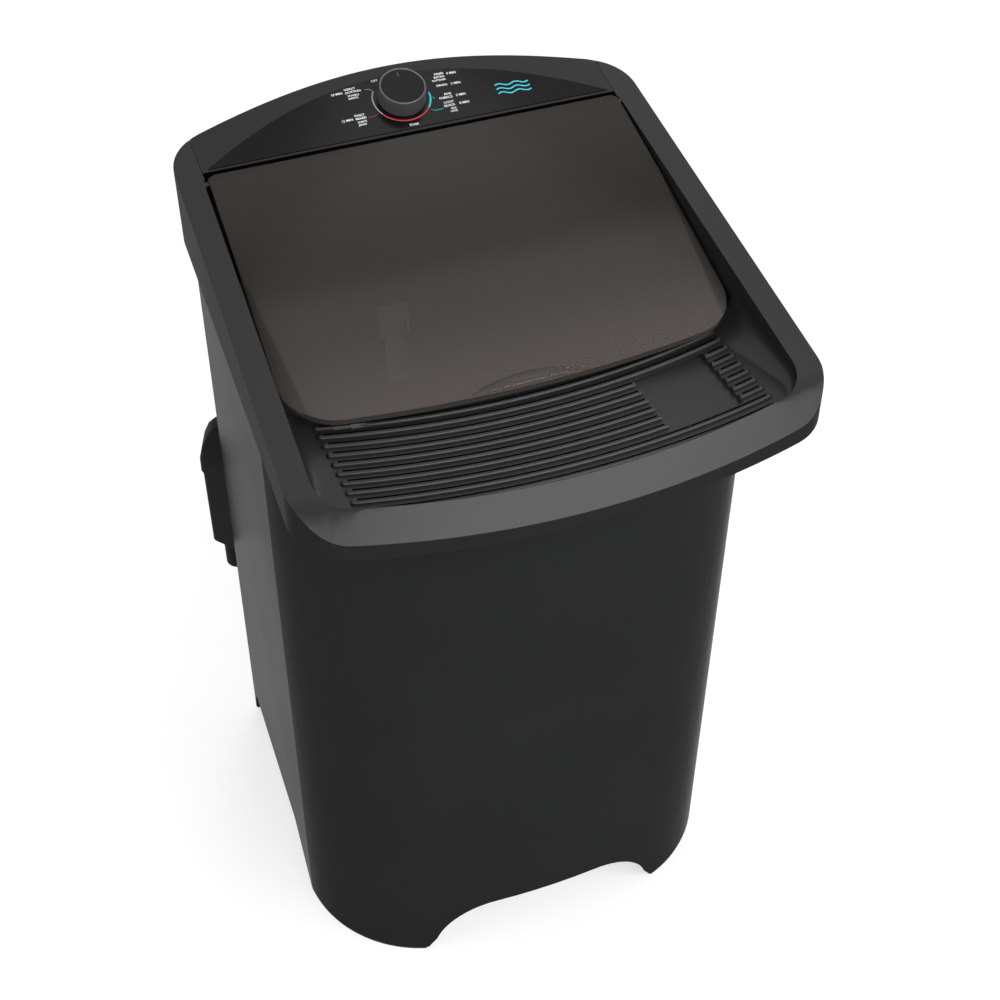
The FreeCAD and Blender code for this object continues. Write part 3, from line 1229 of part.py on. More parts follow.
def make_holder_cap():
    """Straight at its rim, then drawn in step by step to a rounded top."""
    rim = holder_block(d.cap_rim, HOLDER_TOP, HOLDER_TOP + d.cap_height)
    outline = next(face for face in rim.Faces if face.CenterOfMass.z < HOLDER_TOP + d.cap_rim).OuterWire
    middle = rim.Solids[0].CenterOfMass
    rings = []
    for rise, share in ((0.0, 1.0), (0.3, 0.99), (0.55, 0.9), (0.8, 0.74), (0.95, 0.56), (1.0, 0.4)):
        shrink = FreeCAD.Matrix()
        shrink.scale(share, share, 1.0)
        ring = outline.copy()
        ring.translate(Vector(-middle.x, -middle.y, 0))
        ring = ring.transformGeometry(shrink)
        ring.translate(Vector(middle.x, middle.y, rise * d.cap_height))
        rings.append(Part.Wire(ring.Edges))
    return Part.makeLoft(rings, True, True).cut(cabinet_solid())


node("hose_holder", formed("hose_holder_box", make_holder()))
node("hose_holder_cap", formed("hose_holder_dome", make_holder_cap()))


def make_rear_cover():
    skin = cabinet_solid(-d.cover_thickness).cut(cabinet_solid())
    return skin.common(cuboid(-d.cover_left, d.cover_right, d.opening_back, FAR, d.cover_level,
                              d.cover_level + d.cover_height))


def make_cover_screws():
    screws = []
    for x in (-d.cover_left + d.screw_inset, d.cover_right - d.screw_inset):
        for z in (d.cover_level + d.screw_inset, d.cover_level + d.cover_height / 2,
                  d.cover_level + d.cover_height - d.screw_inset):
            seat = cabinet_back(x, z, -d.cover_thickness)
            start = Vector(x, seat - d.screw_head, z)
            head = Part.makeCylinder(d.screw_radius, 2 * d.screw_head, start, BACK)
            screws.append(head.cut(cabinet_solid(-d.cover_thickness)))
    return Part.makeCompound(screws)


node("rear_cover", formed("rear_cover_sheet", make_rear_cover()))
node("rear_cover_screws", formed("rear_cover_screw_set", make_cover_screws()))


# Lint filter and its bracket on the tub's back wall

FILTER_LEFT = "-filter_side - filter_width / 2"
BRACKET_BACK = OPENING_BACK + " - tub_margin - bracket_seat"
BRACKET_DEPTH = "2 * bracket_wall + 2 * filter_gap + filter_depth"
FILTER_BACK = BRACKET_BACK + " - bracket_wall - filter_gap"
FILTER_FRONT = FILTER_BACK + " - filter_depth"
WINDOW_LEFT = FILTER_LEFT + " + 2 * filter_wall"
WINDOW_LOW = "filter_level + 3 * filter_wall"
WINDOW_WIDTH = "filter_width - 4 * filter_wall"
WINDOW_HEIGHT = "filter_height - 12 * filter_wall"
bracket_box = block("bracket_box", FILTER_LEFT + " - filter_gap - bracket_wall",
                    f"{BRACKET_BACK} - ({BRACKET_DEPTH})", "filter_level - bracket_wall",
                    "filter_width + 2 * filter_gap + 2 * bracket_wall", BRACKET_DEPTH, "filter_height * 0.7")
bracket_slot = block("bracket_slot", FILTER_LEFT + " - filter_gap", FILTER_FRONT + " - filter_gap",
                     "filter_level", "filter_width + 2 * filter_gap", "filter_depth + 2 * filter_gap",
                     "filter_height")
bracket_window = block("bracket_window", WINDOW_LEFT, f"{BRACKET_BACK} - 2 * ({BRACKET_DEPTH})", WINDOW_LOW,
                       WINDOW_WIDTH, BRACKET_DEPTH + " + 2 * bracket_wall", "filter_height")
node("filter_bracket", cut("filter_bracket_cut", bracket_box, bracket_slot, bracket_window))
filter_box = block("filter_box", FILTER_LEFT, FILTER_FRONT, "filter_level",
                   "filter_width", "filter_depth", "filter_height")
filter_window = block("filter_window", WINDOW_LEFT, FILTER_FRONT, WINDOW_LOW, WINDOW_WIDTH, "filter_depth",
                      WINDOW_HEIGHT)
node("lint_filter", cut("lint_filter_cut", filter_box, filter_window))
node("filter_mesh", block("filter_mesh", WINDOW_LEFT, FILTER_BACK + " - filter_depth / 2", WINDOW_LOW,
                          WINDOW_WIDTH, "filter_wall / 2", WINDOW_HEIGHT))


# Build, test and write every sub-part

doc.recompute()
problems = []
for obj in doc.Objects:
    if "Invalid" in obj.State or "Error" in obj.State:
        problems.append(f"{obj.Label}: state {obj.State}")
for name, obj in nodes.items():
    shape = obj.Shape
    if shape.isNull() or not shape.isValid() or not shape.Solids:
        problems.append(f"{name}: shape is empty or not valid")
if problems:
    raise RuntimeError("; ".join(problems))
os.makedirs("parts", exist_ok=True)
for name, obj in nodes.items():
    obj.Shape.exportStep(f"parts/{name}.step")
print(len(nodes), "sub-parts written")
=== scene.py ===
import json
import math

import bmesh
import bpy
from mathutils import Matrix, Vector
from mathutils.bvhtree import BVHTree


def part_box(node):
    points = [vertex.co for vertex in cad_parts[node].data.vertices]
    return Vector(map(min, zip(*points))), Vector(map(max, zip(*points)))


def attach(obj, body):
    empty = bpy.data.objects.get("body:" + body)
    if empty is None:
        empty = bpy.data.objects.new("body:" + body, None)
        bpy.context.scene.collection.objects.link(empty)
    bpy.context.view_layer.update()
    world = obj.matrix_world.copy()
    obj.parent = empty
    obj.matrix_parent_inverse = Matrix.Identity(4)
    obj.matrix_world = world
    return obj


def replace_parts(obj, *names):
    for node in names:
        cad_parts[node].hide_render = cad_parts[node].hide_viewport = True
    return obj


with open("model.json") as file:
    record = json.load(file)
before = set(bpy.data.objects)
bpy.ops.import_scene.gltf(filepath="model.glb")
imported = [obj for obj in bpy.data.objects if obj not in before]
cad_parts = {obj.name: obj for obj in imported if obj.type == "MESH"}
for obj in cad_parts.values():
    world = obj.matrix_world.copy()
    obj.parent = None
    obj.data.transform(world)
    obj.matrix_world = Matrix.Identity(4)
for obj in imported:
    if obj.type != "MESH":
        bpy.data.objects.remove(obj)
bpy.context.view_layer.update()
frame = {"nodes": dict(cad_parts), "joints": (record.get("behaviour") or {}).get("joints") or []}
nodes = frame["nodes"]
scene = bpy.context.scene
MM = 0.001


# Shader groups

COLOUR, NUMBER, VECTOR = "NodeSocketColor", "NodeSocketFloat", "NodeSocketVector"
SURFACE = [("Color", COLOUR), ("Roughness", NUMBER), ("Height", NUMBER)]
PATCH_DETAIL, GRAIN_DETAIL, SCRATCH_DETAIL = 4.0, 2.0, 3.0
THREAD_CONTRAST, THREAD_EDGE = 0.6, 0.62


def shader_group(name, inputs, outputs):
    """An empty shader group with named sockets, and its two end nodes."""
    tree = bpy.data.node_groups.new(name, "ShaderNodeTree")
    for socket, kind, value in inputs:
        made = tree.interface.new_socket(socket, in_out="INPUT", socket_type=kind)
        made.default_value = value
    for socket, kind in outputs:
        tree.interface.new_socket(socket, in_out="OUTPUT", socket_type=kind)
    return tree, tree.nodes.new("NodeGroupInput"), tree.nodes.new("NodeGroupOutput")


def feed(tree, socket, value):
    """Links another node's socket into this one, or sets a plain number on it."""
    if isinstance(value, bpy.types.NodeSocket):
        tree.links.new(value, socket)
    else:
        socket.default_value = value


def math_node(tree, operation, first, second):
    """A math node between two sockets or numbers; gives its result socket."""
    node = tree.nodes.new("ShaderNodeMath")
    node.operation = operation
    feed(tree, node.inputs[0], first)
    feed(tree, node.inputs[1], second)
    return node.outputs["Value"]


def noise_node(tree, vector, scale, detail):
    """Noise on a vector socket, with its scale a socket or a number; gives its factor socket."""
    node = tree.nodes.new("ShaderNodeTexNoise")
    node.inputs["Detail"].default_value = detail
    feed(tree, node.inputs["Vector"], vector)
    feed(tree, node.inputs["Scale"], scale)
    return node.outputs["Fac"]


def swung(tree, base, mask, amount):
    """A base value made higher and lower by a mask that runs from 0 to 1."""
    swing = math_node(tree, "MULTIPLY", math_node(tree, "SUBTRACT", mask, 0.5), amount)
    return math_node(tree, "ADD", swing, base)


def tinted(tree, colour, mask, amount):
    """The colour made lighter and darker by a mask that runs from 0 to 1."""
    shade = tree.nodes.new("ShaderNodeHueSaturation")
    tree.links.new(swung(tree, 1.0, mask, amount), shade.inputs["Value"])
    tree.links.new(colour, shade.inputs["Color"])
    return shade.outputs["Color"]


def object_place(tree):
    """The place on the piece itself, so that a pattern stays put when the piece moves."""
    return tree.nodes.new("ShaderNodeTexCoord").outputs["Object"]


def put_out(tree, end, **results):
    """Links results to the group's outputs of the same names."""
    for name, socket in results.items():
        tree.links.new(socket, end.inputs[name])


def moulded_group():
    """Moulded plastic: soft patches in the colour, a fine spark-eroded grain, uneven gloss."""
    tree, start, end = shader_group("Moulded Skin", [
        ("Tint", COLOUR, (0.5, 0.5, 0.5, 1.0)),
        ("Patchiness", NUMBER, 0.2),
        ("Patch Scale", NUMBER, 6.0),
        ("Grain Scale", NUMBER, 900.0),
        ("Gloss Base", NUMBER, 0.4),
        ("Gloss Spread", NUMBER, 0.1),
    ], SURFACE)
    given = start.outputs
    place = object_place(tree)
    patch = noise_node(tree, place, given["Patch Scale"], PATCH_DETAIL)
    put_out(tree, end,
            Color=tinted(tree, given["Tint"], patch, given["Patchiness"]),
            Roughness=swung(tree, given["Gloss Base"], patch, given["Gloss Spread"]),
            Height=noise_node(tree, place, given["Grain Scale"], GRAIN_DETAIL))
    return tree


def brushed_group():
    """Drawn or turned metal: long fine scratches along one axis."""
    tree, start, end = shader_group("Brushed Metal", [
        ("Tint", COLOUR, (0.6, 0.6, 0.6, 1.0)),
        ("Stretch", VECTOR, (40.0, 40.0, 900.0)),
        ("Contrast", NUMBER, 0.3),
        ("Gloss Base", NUMBER, 0.35),
    ], SURFACE)
    given = start.outputs
    stretch = tree.nodes.new("ShaderNodeVectorMath")
    stretch.operation = "MULTIPLY"
    tree.links.new(object_place(tree), stretch.inputs[0])
    tree.links.new(given["Stretch"], stretch.inputs[1])
    scratch = noise_node(tree, stretch.outputs["Vector"], 1.0, SCRATCH_DETAIL)
    put_out(tree, end,
            Color=tinted(tree, given["Tint"], scratch, given["Contrast"]),
            Roughness=swung(tree, given["Gloss Base"], scratch, given["Contrast"]),
            Height=scratch)
    return tree


def netting_group():
    """Two crossing sets of threads: their colour, the places that they cover, their height."""
    tree, start, end = shader_group("Netting", [
        ("Thread Scale", NUMBER, 300.0),
        ("Tint", COLOUR, (0.8, 0.8, 0.8, 1.0)),
    ], [("Color", COLOUR), ("Thread", NUMBER), ("Height", NUMBER)])
    place = object_place(tree)
    threads = []
    for direction in ("X", "Z"):
        wave = tree.nodes.new("ShaderNodeTexWave")
        wave.bands_direction = direction
        tree.links.new(place, wave.inputs["Vector"])
        tree.links.new(start.outputs["Thread Scale"], wave.inputs["Scale"])
        threads.append(wave.outputs["Fac"])
    both = math_node(tree, "MAXIMUM", *threads)
    put_out(tree, end,
            Color=tinted(tree, start.outputs["Tint"], both, THREAD_CONTRAST),
            Thread=math_node(tree, "GREATER_THAN", both, THREAD_EDGE),
            Height=both)
    return tree


MOULDED = moulded_group()
BRUSHED = brushed_group()
NETTING = netting_group()


# Materials

RELIEF_DEPTH = 0.2 * MM
PATCH_SCALE, GLOSS_SPREAD = 5.0, 0.08
SCRATCH_CONTRAST, SCRATCH_BUMP = 0.25, 0.15


def group_material(name, group, values, bump):
    """A material whose colour, gloss and relief come from one shader group."""
    material = bpy.data.materials.new(name)
    material.use_nodes = True
    tree = material.node_tree
    shader = tree.nodes["Principled BSDF"]
    effect = tree.nodes.new("ShaderNodeGroup")
    effect.node_tree = group
    for socket, value in values.items():
        effect.inputs[socket].default_value = value
    tree.links.new(effect.outputs["Color"], shader.inputs["Base Color"])
    if "Roughness" in effect.outputs:
        tree.links.new(effect.outputs["Roughness"], shader.inputs["Roughness"])
    relief = tree.nodes.new("ShaderNodeBump")
    relief.inputs["Strength"].default_value = bump
    relief.inputs["Distance"].default_value = RELIEF_DEPTH
    tree.links.new(effect.outputs["Height"], relief.inputs["Height"])
    tree.links.new(relief.outputs["Normal"], shader.inputs["Normal"])
    return material, shader, effect


def moulded(name, tint, gloss, patchiness=0.25, grain=1100.0, bump=0.12, specular=0.3):
    """A moulded plastic or rubber finish."""
    material, shader, _ = group_material(name, MOULDED, {
        "Tint": (*tint, 1.0), "Patchiness": patchiness, "Patch Scale": PATCH_SCALE,
        "Grain Scale": grain, "Gloss Base": gloss, "Gloss Spread": GLOSS_SPREAD}, bump)
    shader.inputs["Specular IOR Level"].default_value = specular
    return material


def ink(name, tint):
    """Ink printed on the panel film."""
    return moulded(name, tint, 0.5, patchiness=0.2, bump=0.05)


def brushed(name, tint, gloss, stretch=(60.0, 60.0, 1200.0)):
    """A bare metal finish."""
    material, shader, _ = group_material(name, BRUSHED, {
        "Tint": (*tint, 1.0), "Stretch": stretch, "Contrast": SCRATCH_CONTRAST,
        "Gloss Base": gloss}, SCRATCH_BUMP)
    shader.inputs["Metallic"].default_value = 1.0
    return material


cabinet_plastic = moulded("cabinet plastic", (0.016, 0.0162, 0.0166), 0.24, specular=0.0022)
frame_plastic = moulded("frame plastic", (0.0095, 0.0095, 0.01), 0.38, specular=0.235)
skirt_plastic = moulded("skirt plastic", (0.016, 0.016, 0.0165), 0.32, specular=0.0015)
panel_plastic = moulded("panel plastic", (0.0095, 0.0095, 0.01), 0.42, specular=0.19)
deck_plastic = moulded("washboard plastic", (0.0105, 0.0105, 0.011), 0.36, specular=0.27)
holder_plastic = moulded("holder plastic", (0.0075, 0.0075, 0.008), 0.62, specular=0.06)
overlay_gloss = moulded("panel film", (0.004, 0.004, 0.0045), 0.2, patchiness=0.1, bump=0.02,
                        specular=0.1)
knob_plastic = moulded("knob plastic", (0.045, 0.0455, 0.0465), 0.34, grain=1600.0, bump=0.06,
                       specular=0.45)
# Painted shade: the knob's face gets a darker, less glossy copy of the knob plastic than its
# sides, so that it stays dark where it faces the lamps
knob_face_painted_shade = moulded("knob face painted shade", (0.009, 0.009, 0.0095), 0.4, grain=1600.0, bump=0.06,
                    specular=0.08)
knob_edge = moulded("knob edge", (0.06, 0.061, 0.063), 0.3, patchiness=0.1, bump=0.03,
                    specular=0.5)
knob_notch = moulded("knob notch", (0.045, 0.046, 0.05), 0.5, bump=0.05)
white_ink = ink("white print", (0.72, 0.73, 0.74))
grey_ink = ink("grey print", (0.32, 0.32, 0.33))
red_ink = ink("red print", (0.42, 0.035, 0.04))
cyan_ink = ink("cyan print", (0.05, 0.48, 0.58))
# Painted shadow: a matt black without reflection, for strips and faces that stand in for shade
painted_shadow_black = moulded("painted shadow black", (0.0015, 0.0015, 0.0016), 0.9, patchiness=0.1, bump=0.05,
                     specular=0.0)
tub_plastic = moulded("tub plastic", (0.035, 0.035, 0.037), 0.4, bump=0.1)
filter_plastic = moulded("filter plastic", (0.84, 0.83, 0.8), 0.42, bump=0.08)
fan_plastic = moulded("fan plastic", (0.12, 0.12, 0.12), 0.5)
rubber = moulded("rubber", (0.016, 0.016, 0.016), 0.75, grain=700.0, bump=0.3, specular=0.25)
motor_paint = moulded("motor paint", (0.16, 0.17, 0.18), 0.4, patchiness=0.35, grain=500.0,
                      bump=0.25)
steel = brushed("zinc steel", (0.56, 0.57, 0.58), 0.38)
bronze = brushed("bronze", (0.55, 0.36, 0.19), 0.42, (900.0, 900.0, 60.0))
alloy = brushed("cast alloy", (0.62, 0.62, 0.64), 0.45, (300.0, 300.0, 300.0))
windings = brushed("copper windings", (0.6, 0.28, 0.14), 0.4, (500.0, 500.0, 900.0))


# Painted reflection on the smoked lid: its colour lighter at the front, darkest behind the middle
# and lighter again at the back: place along Y in metres, colour
LID_PAINTED_REFLECTION = [
    (-0.155, (0.066, 0.0575, 0.0515)),
    (-0.03, (0.038, 0.0335, 0.029)),
    (0.032, (0.022, 0.019, 0.016)),
    (0.175, (0.034, 0.03, 0.026)),
]
LID_BUMP, LID_ALPHA, LID_SPECULAR = 0.004, 0.66, 0.1
NET_BUMP, NET_ROUGHNESS = 0.5, 0.8


def smoked_sheet():
    """The lid's brown-grey smoked plastic: glossy, and dim to see through, with a painted
    reflection in its colour from front to back.
    """
    material, shader, effect = group_material("smoked lid", MOULDED, {
        "Patchiness": 0.15, "Patch Scale": 2.5, "Grain Scale": 1500.0,
        "Gloss Base": 0.14, "Gloss Spread": 0.05}, LID_BUMP)
    # Painted reflection: the lid's tint runs through the listed colours along Y
    (front, front_shade), *between, (back, back_shade) = LID_PAINTED_REFLECTION
    tree = material.node_tree
    parts = tree.nodes.new("ShaderNodeSeparateXYZ")
    tree.links.new(object_place(tree), parts.inputs["Vector"])
    depth = tree.nodes.new("ShaderNodeMapRange")
    depth.inputs["From Min"].default_value = front
    depth.inputs["From Max"].default_value = back
    tree.links.new(parts.outputs["Y"], depth.inputs["Value"])
    ramp = tree.nodes.new("ShaderNodeValToRGB")
    ramp.color_ramp.interpolation = "EASE"
    tree.links.new(depth.outputs["Result"], ramp.inputs["Fac"])
    stops = ramp.color_ramp.elements
    for y, shade in between:
        stops.new((y - front) / (back - front)).color = (*shade, 1.0)
    stops[0].color = (*front_shade, 1.0)
    stops[len(stops) - 1].color = (*back_shade, 1.0)
    tree.links.new(ramp.outputs["Color"], effect.inputs["Tint"])
    shader.inputs["Alpha"].default_value = LID_ALPHA
    shader.inputs["Specular IOR Level"].default_value = LID_SPECULAR
    return material


def netting():
    """The lint filter's white net, open between its threads."""
    material, shader, effect = group_material("lint net", NETTING, {
        "Thread Scale": 260.0, "Tint": (0.7, 0.7, 0.68, 1.0)}, NET_BUMP)
    material.node_tree.links.new(effect.outputs["Thread"], shader.inputs["Alpha"])
    shader.inputs["Roughness"].default_value = NET_ROUGHNESS
    return material


lid_smoke = smoked_sheet()
lint_net = netting()


# CAD sub-parts that stay as they are, with their finishes

FINISHES = {
    overlay_gloss: ["panel_overlay"],
    tub_plastic: ["tub", "agitator", "filter_bracket", "drain_spigot", "timer_body"],
    filter_plastic: ["lint_filter"],
    lint_net: ["filter_mesh"],
    cabinet_plastic: ["rear_cover", "drain_outlet", "cable_gland"],
    rubber: ["foot_pads", "shaft_seal", "motor_mounts", "drive_belt", "drain_hose"],
    motor_paint: ["motor_housing", "motor_end_cap"],
    fan_plastic: ["motor_fan"],
    windings: ["stator"],
    bronze: ["lower_bush", "upper_bush", "lower_motor_bush", "upper_motor_bush"],
    alloy: ["bearing_housing", "driven_pulley", "motor_pulley", "capacitor"],
    # Painted shade: the lid's hinge pins, steel on the machine, get the dark frame plastic so that
    # they stay dark
    frame_plastic: ["lid_hinge_pins"],
    steel: ["timer_shaft", "agitator_shaft", "housing_bolts", "rail_bolts", "rear_cover_screws",
            "pulley_nut", "base_rails", "motor_plate", "motor_shaft", "rotor", "capacitor_clip"],
}
for finish, names in FINISHES.items():
    for name in names:
        for place in nodes[name].material_slots:
            place.material = finish


# Helpers for new pieces

WELD, SPIN_WELD, CUT_WELD = 0.002 * MM, 0.005 * MM, 0.001 * MM
FLAT_ANGLE, SMOOTH_ANGLE, EDGE_ANGLE = 0.4, 30.0, 35.0
ABOVE, DOWN = 2.0, Vector((0, 0, -1))


def piece_from(work, name, body, material, smooth=SMOOTH_ANGLE):
    """The finished mesh as an object that rides on a body."""
    mesh = bpy.data.meshes.new(name)
    work.to_mesh(mesh)
    work.free()
    mesh.shade_smooth()
    mesh.set_sharp_from_angle(angle=math.radians(smooth))
    mesh.materials.append(material)
    piece = bpy.data.objects.new(name, mesh)
    scene.collection.objects.link(piece)
    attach(piece, body)
    return piece


def merged(*names):
    """The triangles of one or more CAD sub-parts in one mesh, with their shared points merged."""
    work = bmesh.new()
    for name in names:
        work.from_mesh(nodes[name].data)
    bmesh.ops.remove_doubles(work, verts=work.verts, dist=WELD)
    return work


def softened(work, name, replaced, body, material, width, segments):
    """A merged shape, its flat faces whole and its edges rounded, in place of CAD sub-parts."""
    bmesh.ops.dissolve_limit(work, angle_limit=math.radians(FLAT_ANGLE), verts=work.verts,
                             edges=work.edges)
    piece = piece_from(work, name, body, material, EDGE_ANGLE)
    rounding = piece.modifiers.new("rounded edges", "BEVEL")
    rounding.width = width
    rounding.segments = segments
    rounding.limit_method = "ANGLE"
    rounding.angle_limit = math.radians(EDGE_ANGLE)
    rounding.harden_normals = True
    shading = piece.modifiers.new("flat walls", "WEIGHTED_NORMAL")
    shading.keep_sharp = True
    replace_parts(piece, *replaced)
    return piece


def paint(piece, material, wanted):
    """Gives the material to the faces with a wanted normal."""
    piece.data.materials.append(material)
    place = len(piece.data.materials) - 1
    for face in piece.data.polygons:
        if wanted(face.normal):
            face.material_index = place


def surface_of(name):
    """The triangles of a CAD sub-part, to lay flat work on."""
    mesh = nodes[name].data
    return BVHTree.FromPolygons([vert.co for vert in mesh.vertices],
                                [face.vertices for face in mesh.polygons])


def laid_on(surface, work, lift):
    """Drops the mesh straight down onto a surface, a hair above it."""
    for vert in work.verts:
        hit = surface.ray_cast(Vector((vert.co.x, vert.co.y, ABOVE)), DOWN)[0]
        if hit is not None:
            vert.co.z = hit.z + lift


def drawn(work, section, points, closed=False):
    """Draws a strip or tube on to its next points: extrudes the last section, or starts one."""
    if section is None:
        verts = [work.verts.new(point) for point in points]
        ends = verts[1:] + verts[:1] if closed else verts[1:]
        return [work.edges.new(pair) for pair in zip(verts, ends)]
    made = bmesh.ops.extrude_edge_only(work, edges=section)["geom"]
    verts = [part for part in made if isinstance(part, bmesh.types.BMVert)]
    for vert, point in zip(verts, points):
        vert.co = point
    return [part for part in made if isinstance(part, bmesh.types.BMEdge)]


def ribbon(work, points, width):
    """Adds a flat strip through plan points in millimetres."""
    section = None
    for index, (x, y) in enumerate(points):
        ahead = points[min(index + 1, len(points) - 1)]
        behind = points[max(index - 1, 0)]
        sideways = Vector((behind[1] - ahead[1], ahead[0] - behind[0], 0)).normalized()
        across = sideways * width * MM / 2
        place = Vector((x * MM, y * MM, 0))
        section = drawn(work, section, (place - across, place + across))


def thickened(work, name, material, thickness, body="machine"):
    """A flat strip, plate or print as a piece, with its upper side raised."""
    bmesh.ops.recalc_face_normals(work, faces=work.faces)
    for face in work.faces:
        if face.normal.z < 0:
            face.normal_flip()
    piece = piece_from(work, name, body, material)
    depth = piece.modifiers.new("depth", "SOLIDIFY")
    depth.thickness = thickness
    depth.offset = 1.0


# Cabinet walls as one moulding, with creases where the round front corners meet the flat sides

CABINET = ["cabinet_front", "cabinet_left_side", "cabinet_right_side", "cabinet_back"]
SEAM_NEAR = 0.02 * MM
CREASE_Y, CREASE_LEAN, CREASE_NEAR = -82.0 * MM, 15.0 / 830.0, 6.0 * MM
CREASE_OUTSIDE = 250.0 * MM


def one_skin():
    """The cabinet's walls in one mesh, without the faces where they meet."""
    work = merged(*CABINET)
    seams = [corner[1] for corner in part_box("cabinet_left_side")]
    hidden = [face for face in work.faces for seam in seams
              if all(abs(vert.co.y - seam) < SEAM_NEAR for vert in face.verts)]
    bmesh.ops.delete(work, geom=hidden, context="FACES")
    return work


def on_crease(point):
    """Whether a point of the cabinet is on the upright line between a corner and a side."""
    return (abs(point.x) > CREASE_OUTSIDE
            and abs(point.y - CREASE_Y + CREASE_LEAN * point.z) < CREASE_NEAR)


def keep_crease(piece):
    """Keeps the upright edges between the cabinet's front corners and its sides sharp."""
    mesh = piece.data
    for edge in mesh.edges:
        if all(on_crease(mesh.vertices[index].co) for index in edge.vertices):
            edge.use_edge_sharp = True


keep_crease(softened(one_skin(), "cabinet_finish", CABINET, "machine",
                     cabinet_plastic, 0.8 * MM, 2))


# Roll where the top frame's rim turns into its front bevel at both corners, in millimetres

BOW_MIDDLE, BOW_REACH, BEVEL_FALL = 609.0, 909.0, 0.894
ROLL_START, ROLL_FULL, ROLL_REACH = 205.0, 235.0, 12.0
CUT_COUNT, CUT_START, CUT_STEP = 16, -236.0, 4.0
UPRIGHT, BACK_FACING, LIP_FACING = 0.3, 0.3, 0.7


def rolled_corners():
    """The top frame with the rim rolled over into the front bevel at both corners."""
    work = merged("top_frame")
    for step in range(CUT_COUNT):
        faces = [face for face in work.faces if face.normal.z > UPRIGHT]
        lines = {line for face in faces for line in face.edges}
        points = {point for face in faces for point in face.verts}
        cut = (CUT_START - CUT_STEP * step) * MM
        bmesh.ops.bisect_plane(work, geom=faces + list(lines) + list(points), dist=CUT_WELD,
                               plane_co=(0, cut, 0), plane_no=(0, 1, 0))
    for vert in work.verts:
        share = min(1.0, (abs(vert.co.x) / MM - ROLL_START) / (ROLL_FULL - ROLL_START))
        if share <= 0 or not any(face.normal.z > UPRIGHT for face in vert.link_faces):
            continue
        reach = ROLL_REACH * share
        past = math.hypot(vert.co.x / MM, vert.co.y / MM - BOW_MIDDLE) - BOW_REACH
        if vert.co.y < 0 and abs(past) < reach:
            drop = (past + reach) ** 2 / (4 * reach) - max(past, 0)
            vert.co.z -= BEVEL_FALL * drop * MM
    return work


paint(softened(rolled_corners(), "top_frame_finish", ["top_frame"], "machine",
               frame_plastic, 1.6 * MM, 3),
      skirt_plastic, lambda normal: abs(normal.z) < UPRIGHT)


# Other mouldings with rounded edges: sub-part, body, slot, finish, rounding, segments

ROUNDED = [
    ("control_panel", "machine", "frame_plastic", panel_plastic, 1.2 * MM, 3),
    ("washboard", "machine", "frame_plastic", deck_plastic, 0.5 * MM, 2),
    ("hose_holder", "machine", "cabinet_plastic", holder_plastic, 1.0 * MM, 2),
    ("hose_holder_cap", "machine", "cabinet_plastic", holder_plastic, 1.0 * MM, 2),
    ("lid", "lid", "lid_smoke", lid_smoke, 1.2 * MM, 3),
]
for name, body, slot, material, width, segments in ROUNDED:
    finish = softened(merged(name), name + "_finish", [name], body, material, width, segments)
    if name == "control_panel":
        paint(finish, skirt_plastic,
              lambda normal: normal.y > BACK_FACING and abs(normal.z) < UPRIGHT)
        # Painted shadow: the panel's front lip, which faces the lid, gets the black shadow finish
        paint(finish, painted_shadow_black, lambda normal: normal.y < -LIP_FACING)


# Swept corners where the washboard rises into the frame's inner walls, in millimetres

DECK_FRONT, DECK_HEIGHT, DECK_TILT = -300.0, 837.0, math.radians(5.0)
WALL_FRONT, WALL_HALF, WALL_TAPER = -324.0, 252.6, 0.02549
WALL_BACK, WALL_CORNER, WALL_STEPS = -108.0, -232.2, 12
CORNER_RADIUS, CORNER_STEPS, CORNER_TURN = 41.6, 10, -7.5
SWEEP_RADIUS, SWEEP_GROWTH, SWEEP_FALL = 13.0, 27.0, 0.9
SWEEP_STEPS, SWEEP_TURN, SWEEP_SINK, SWEEP_FOOT = 10, 9.0, 0.05, 1.0
SWEEP_SMOOTH = 50.0


def deck_height(y):
    """Height of the washboard's plate at y."""
    return DECK_HEIGHT - (y - DECK_FRONT) * math.tan(DECK_TILT)


def wall_path():
    """Points on the inner wall from under the lid to the front: place, inward way, radius."""
    path = []
    for step in range(WALL_STEPS + 1):
        y = WALL_BACK + (WALL_CORNER - WALL_BACK) * step / WALL_STEPS
        half = WALL_HALF - WALL_TAPER * (y - WALL_FRONT)
        radius = SWEEP_RADIUS + SWEEP_GROWTH * (y - WALL_CORNER) / (WALL_BACK - WALL_CORNER)
        path.append((Vector((half, y, 0)), Vector((-1, 0, 0)), radius))
    middle = Vector((path[-1][0].x - CORNER_RADIUS, WALL_CORNER, 0))
    for step in range(1, CORNER_STEPS + 1):
        turn = math.radians(CORNER_TURN * step)
        out = Vector((math.cos(turn), math.sin(turn), 0))
        path.append((middle + out * CORNER_RADIUS, -out, SWEEP_RADIUS - SWEEP_FALL * step))
    return path


def swept_corner(side):
    """A concave strip that carries the washboard's plate up into the wall on one side."""
    work = bmesh.new()
    turns = [math.radians(SWEEP_TURN * step) for step in range(SWEEP_STEPS + 1)]
    section = None
    for place, inward, radius in wall_path():
        ring = []
        for turn in turns:
            point = place + inward * (radius - radius * math.sin(turn))
            point.z = deck_height(point.y) + radius - radius * math.cos(turn) - SWEEP_SINK
            ring.append(point)
        ring.append(place + Vector((0, 0, deck_height(place.y) - SWEEP_FOOT)))
        ring = [(point.x * side * MM, point.y * MM, point.z * MM) for point in ring]
        section = drawn(work, section, ring, closed=True)
    bmesh.ops.holes_fill(work, edges=work.edges)
    bmesh.ops.recalc_face_normals(work, faces=work.faces)
    return work


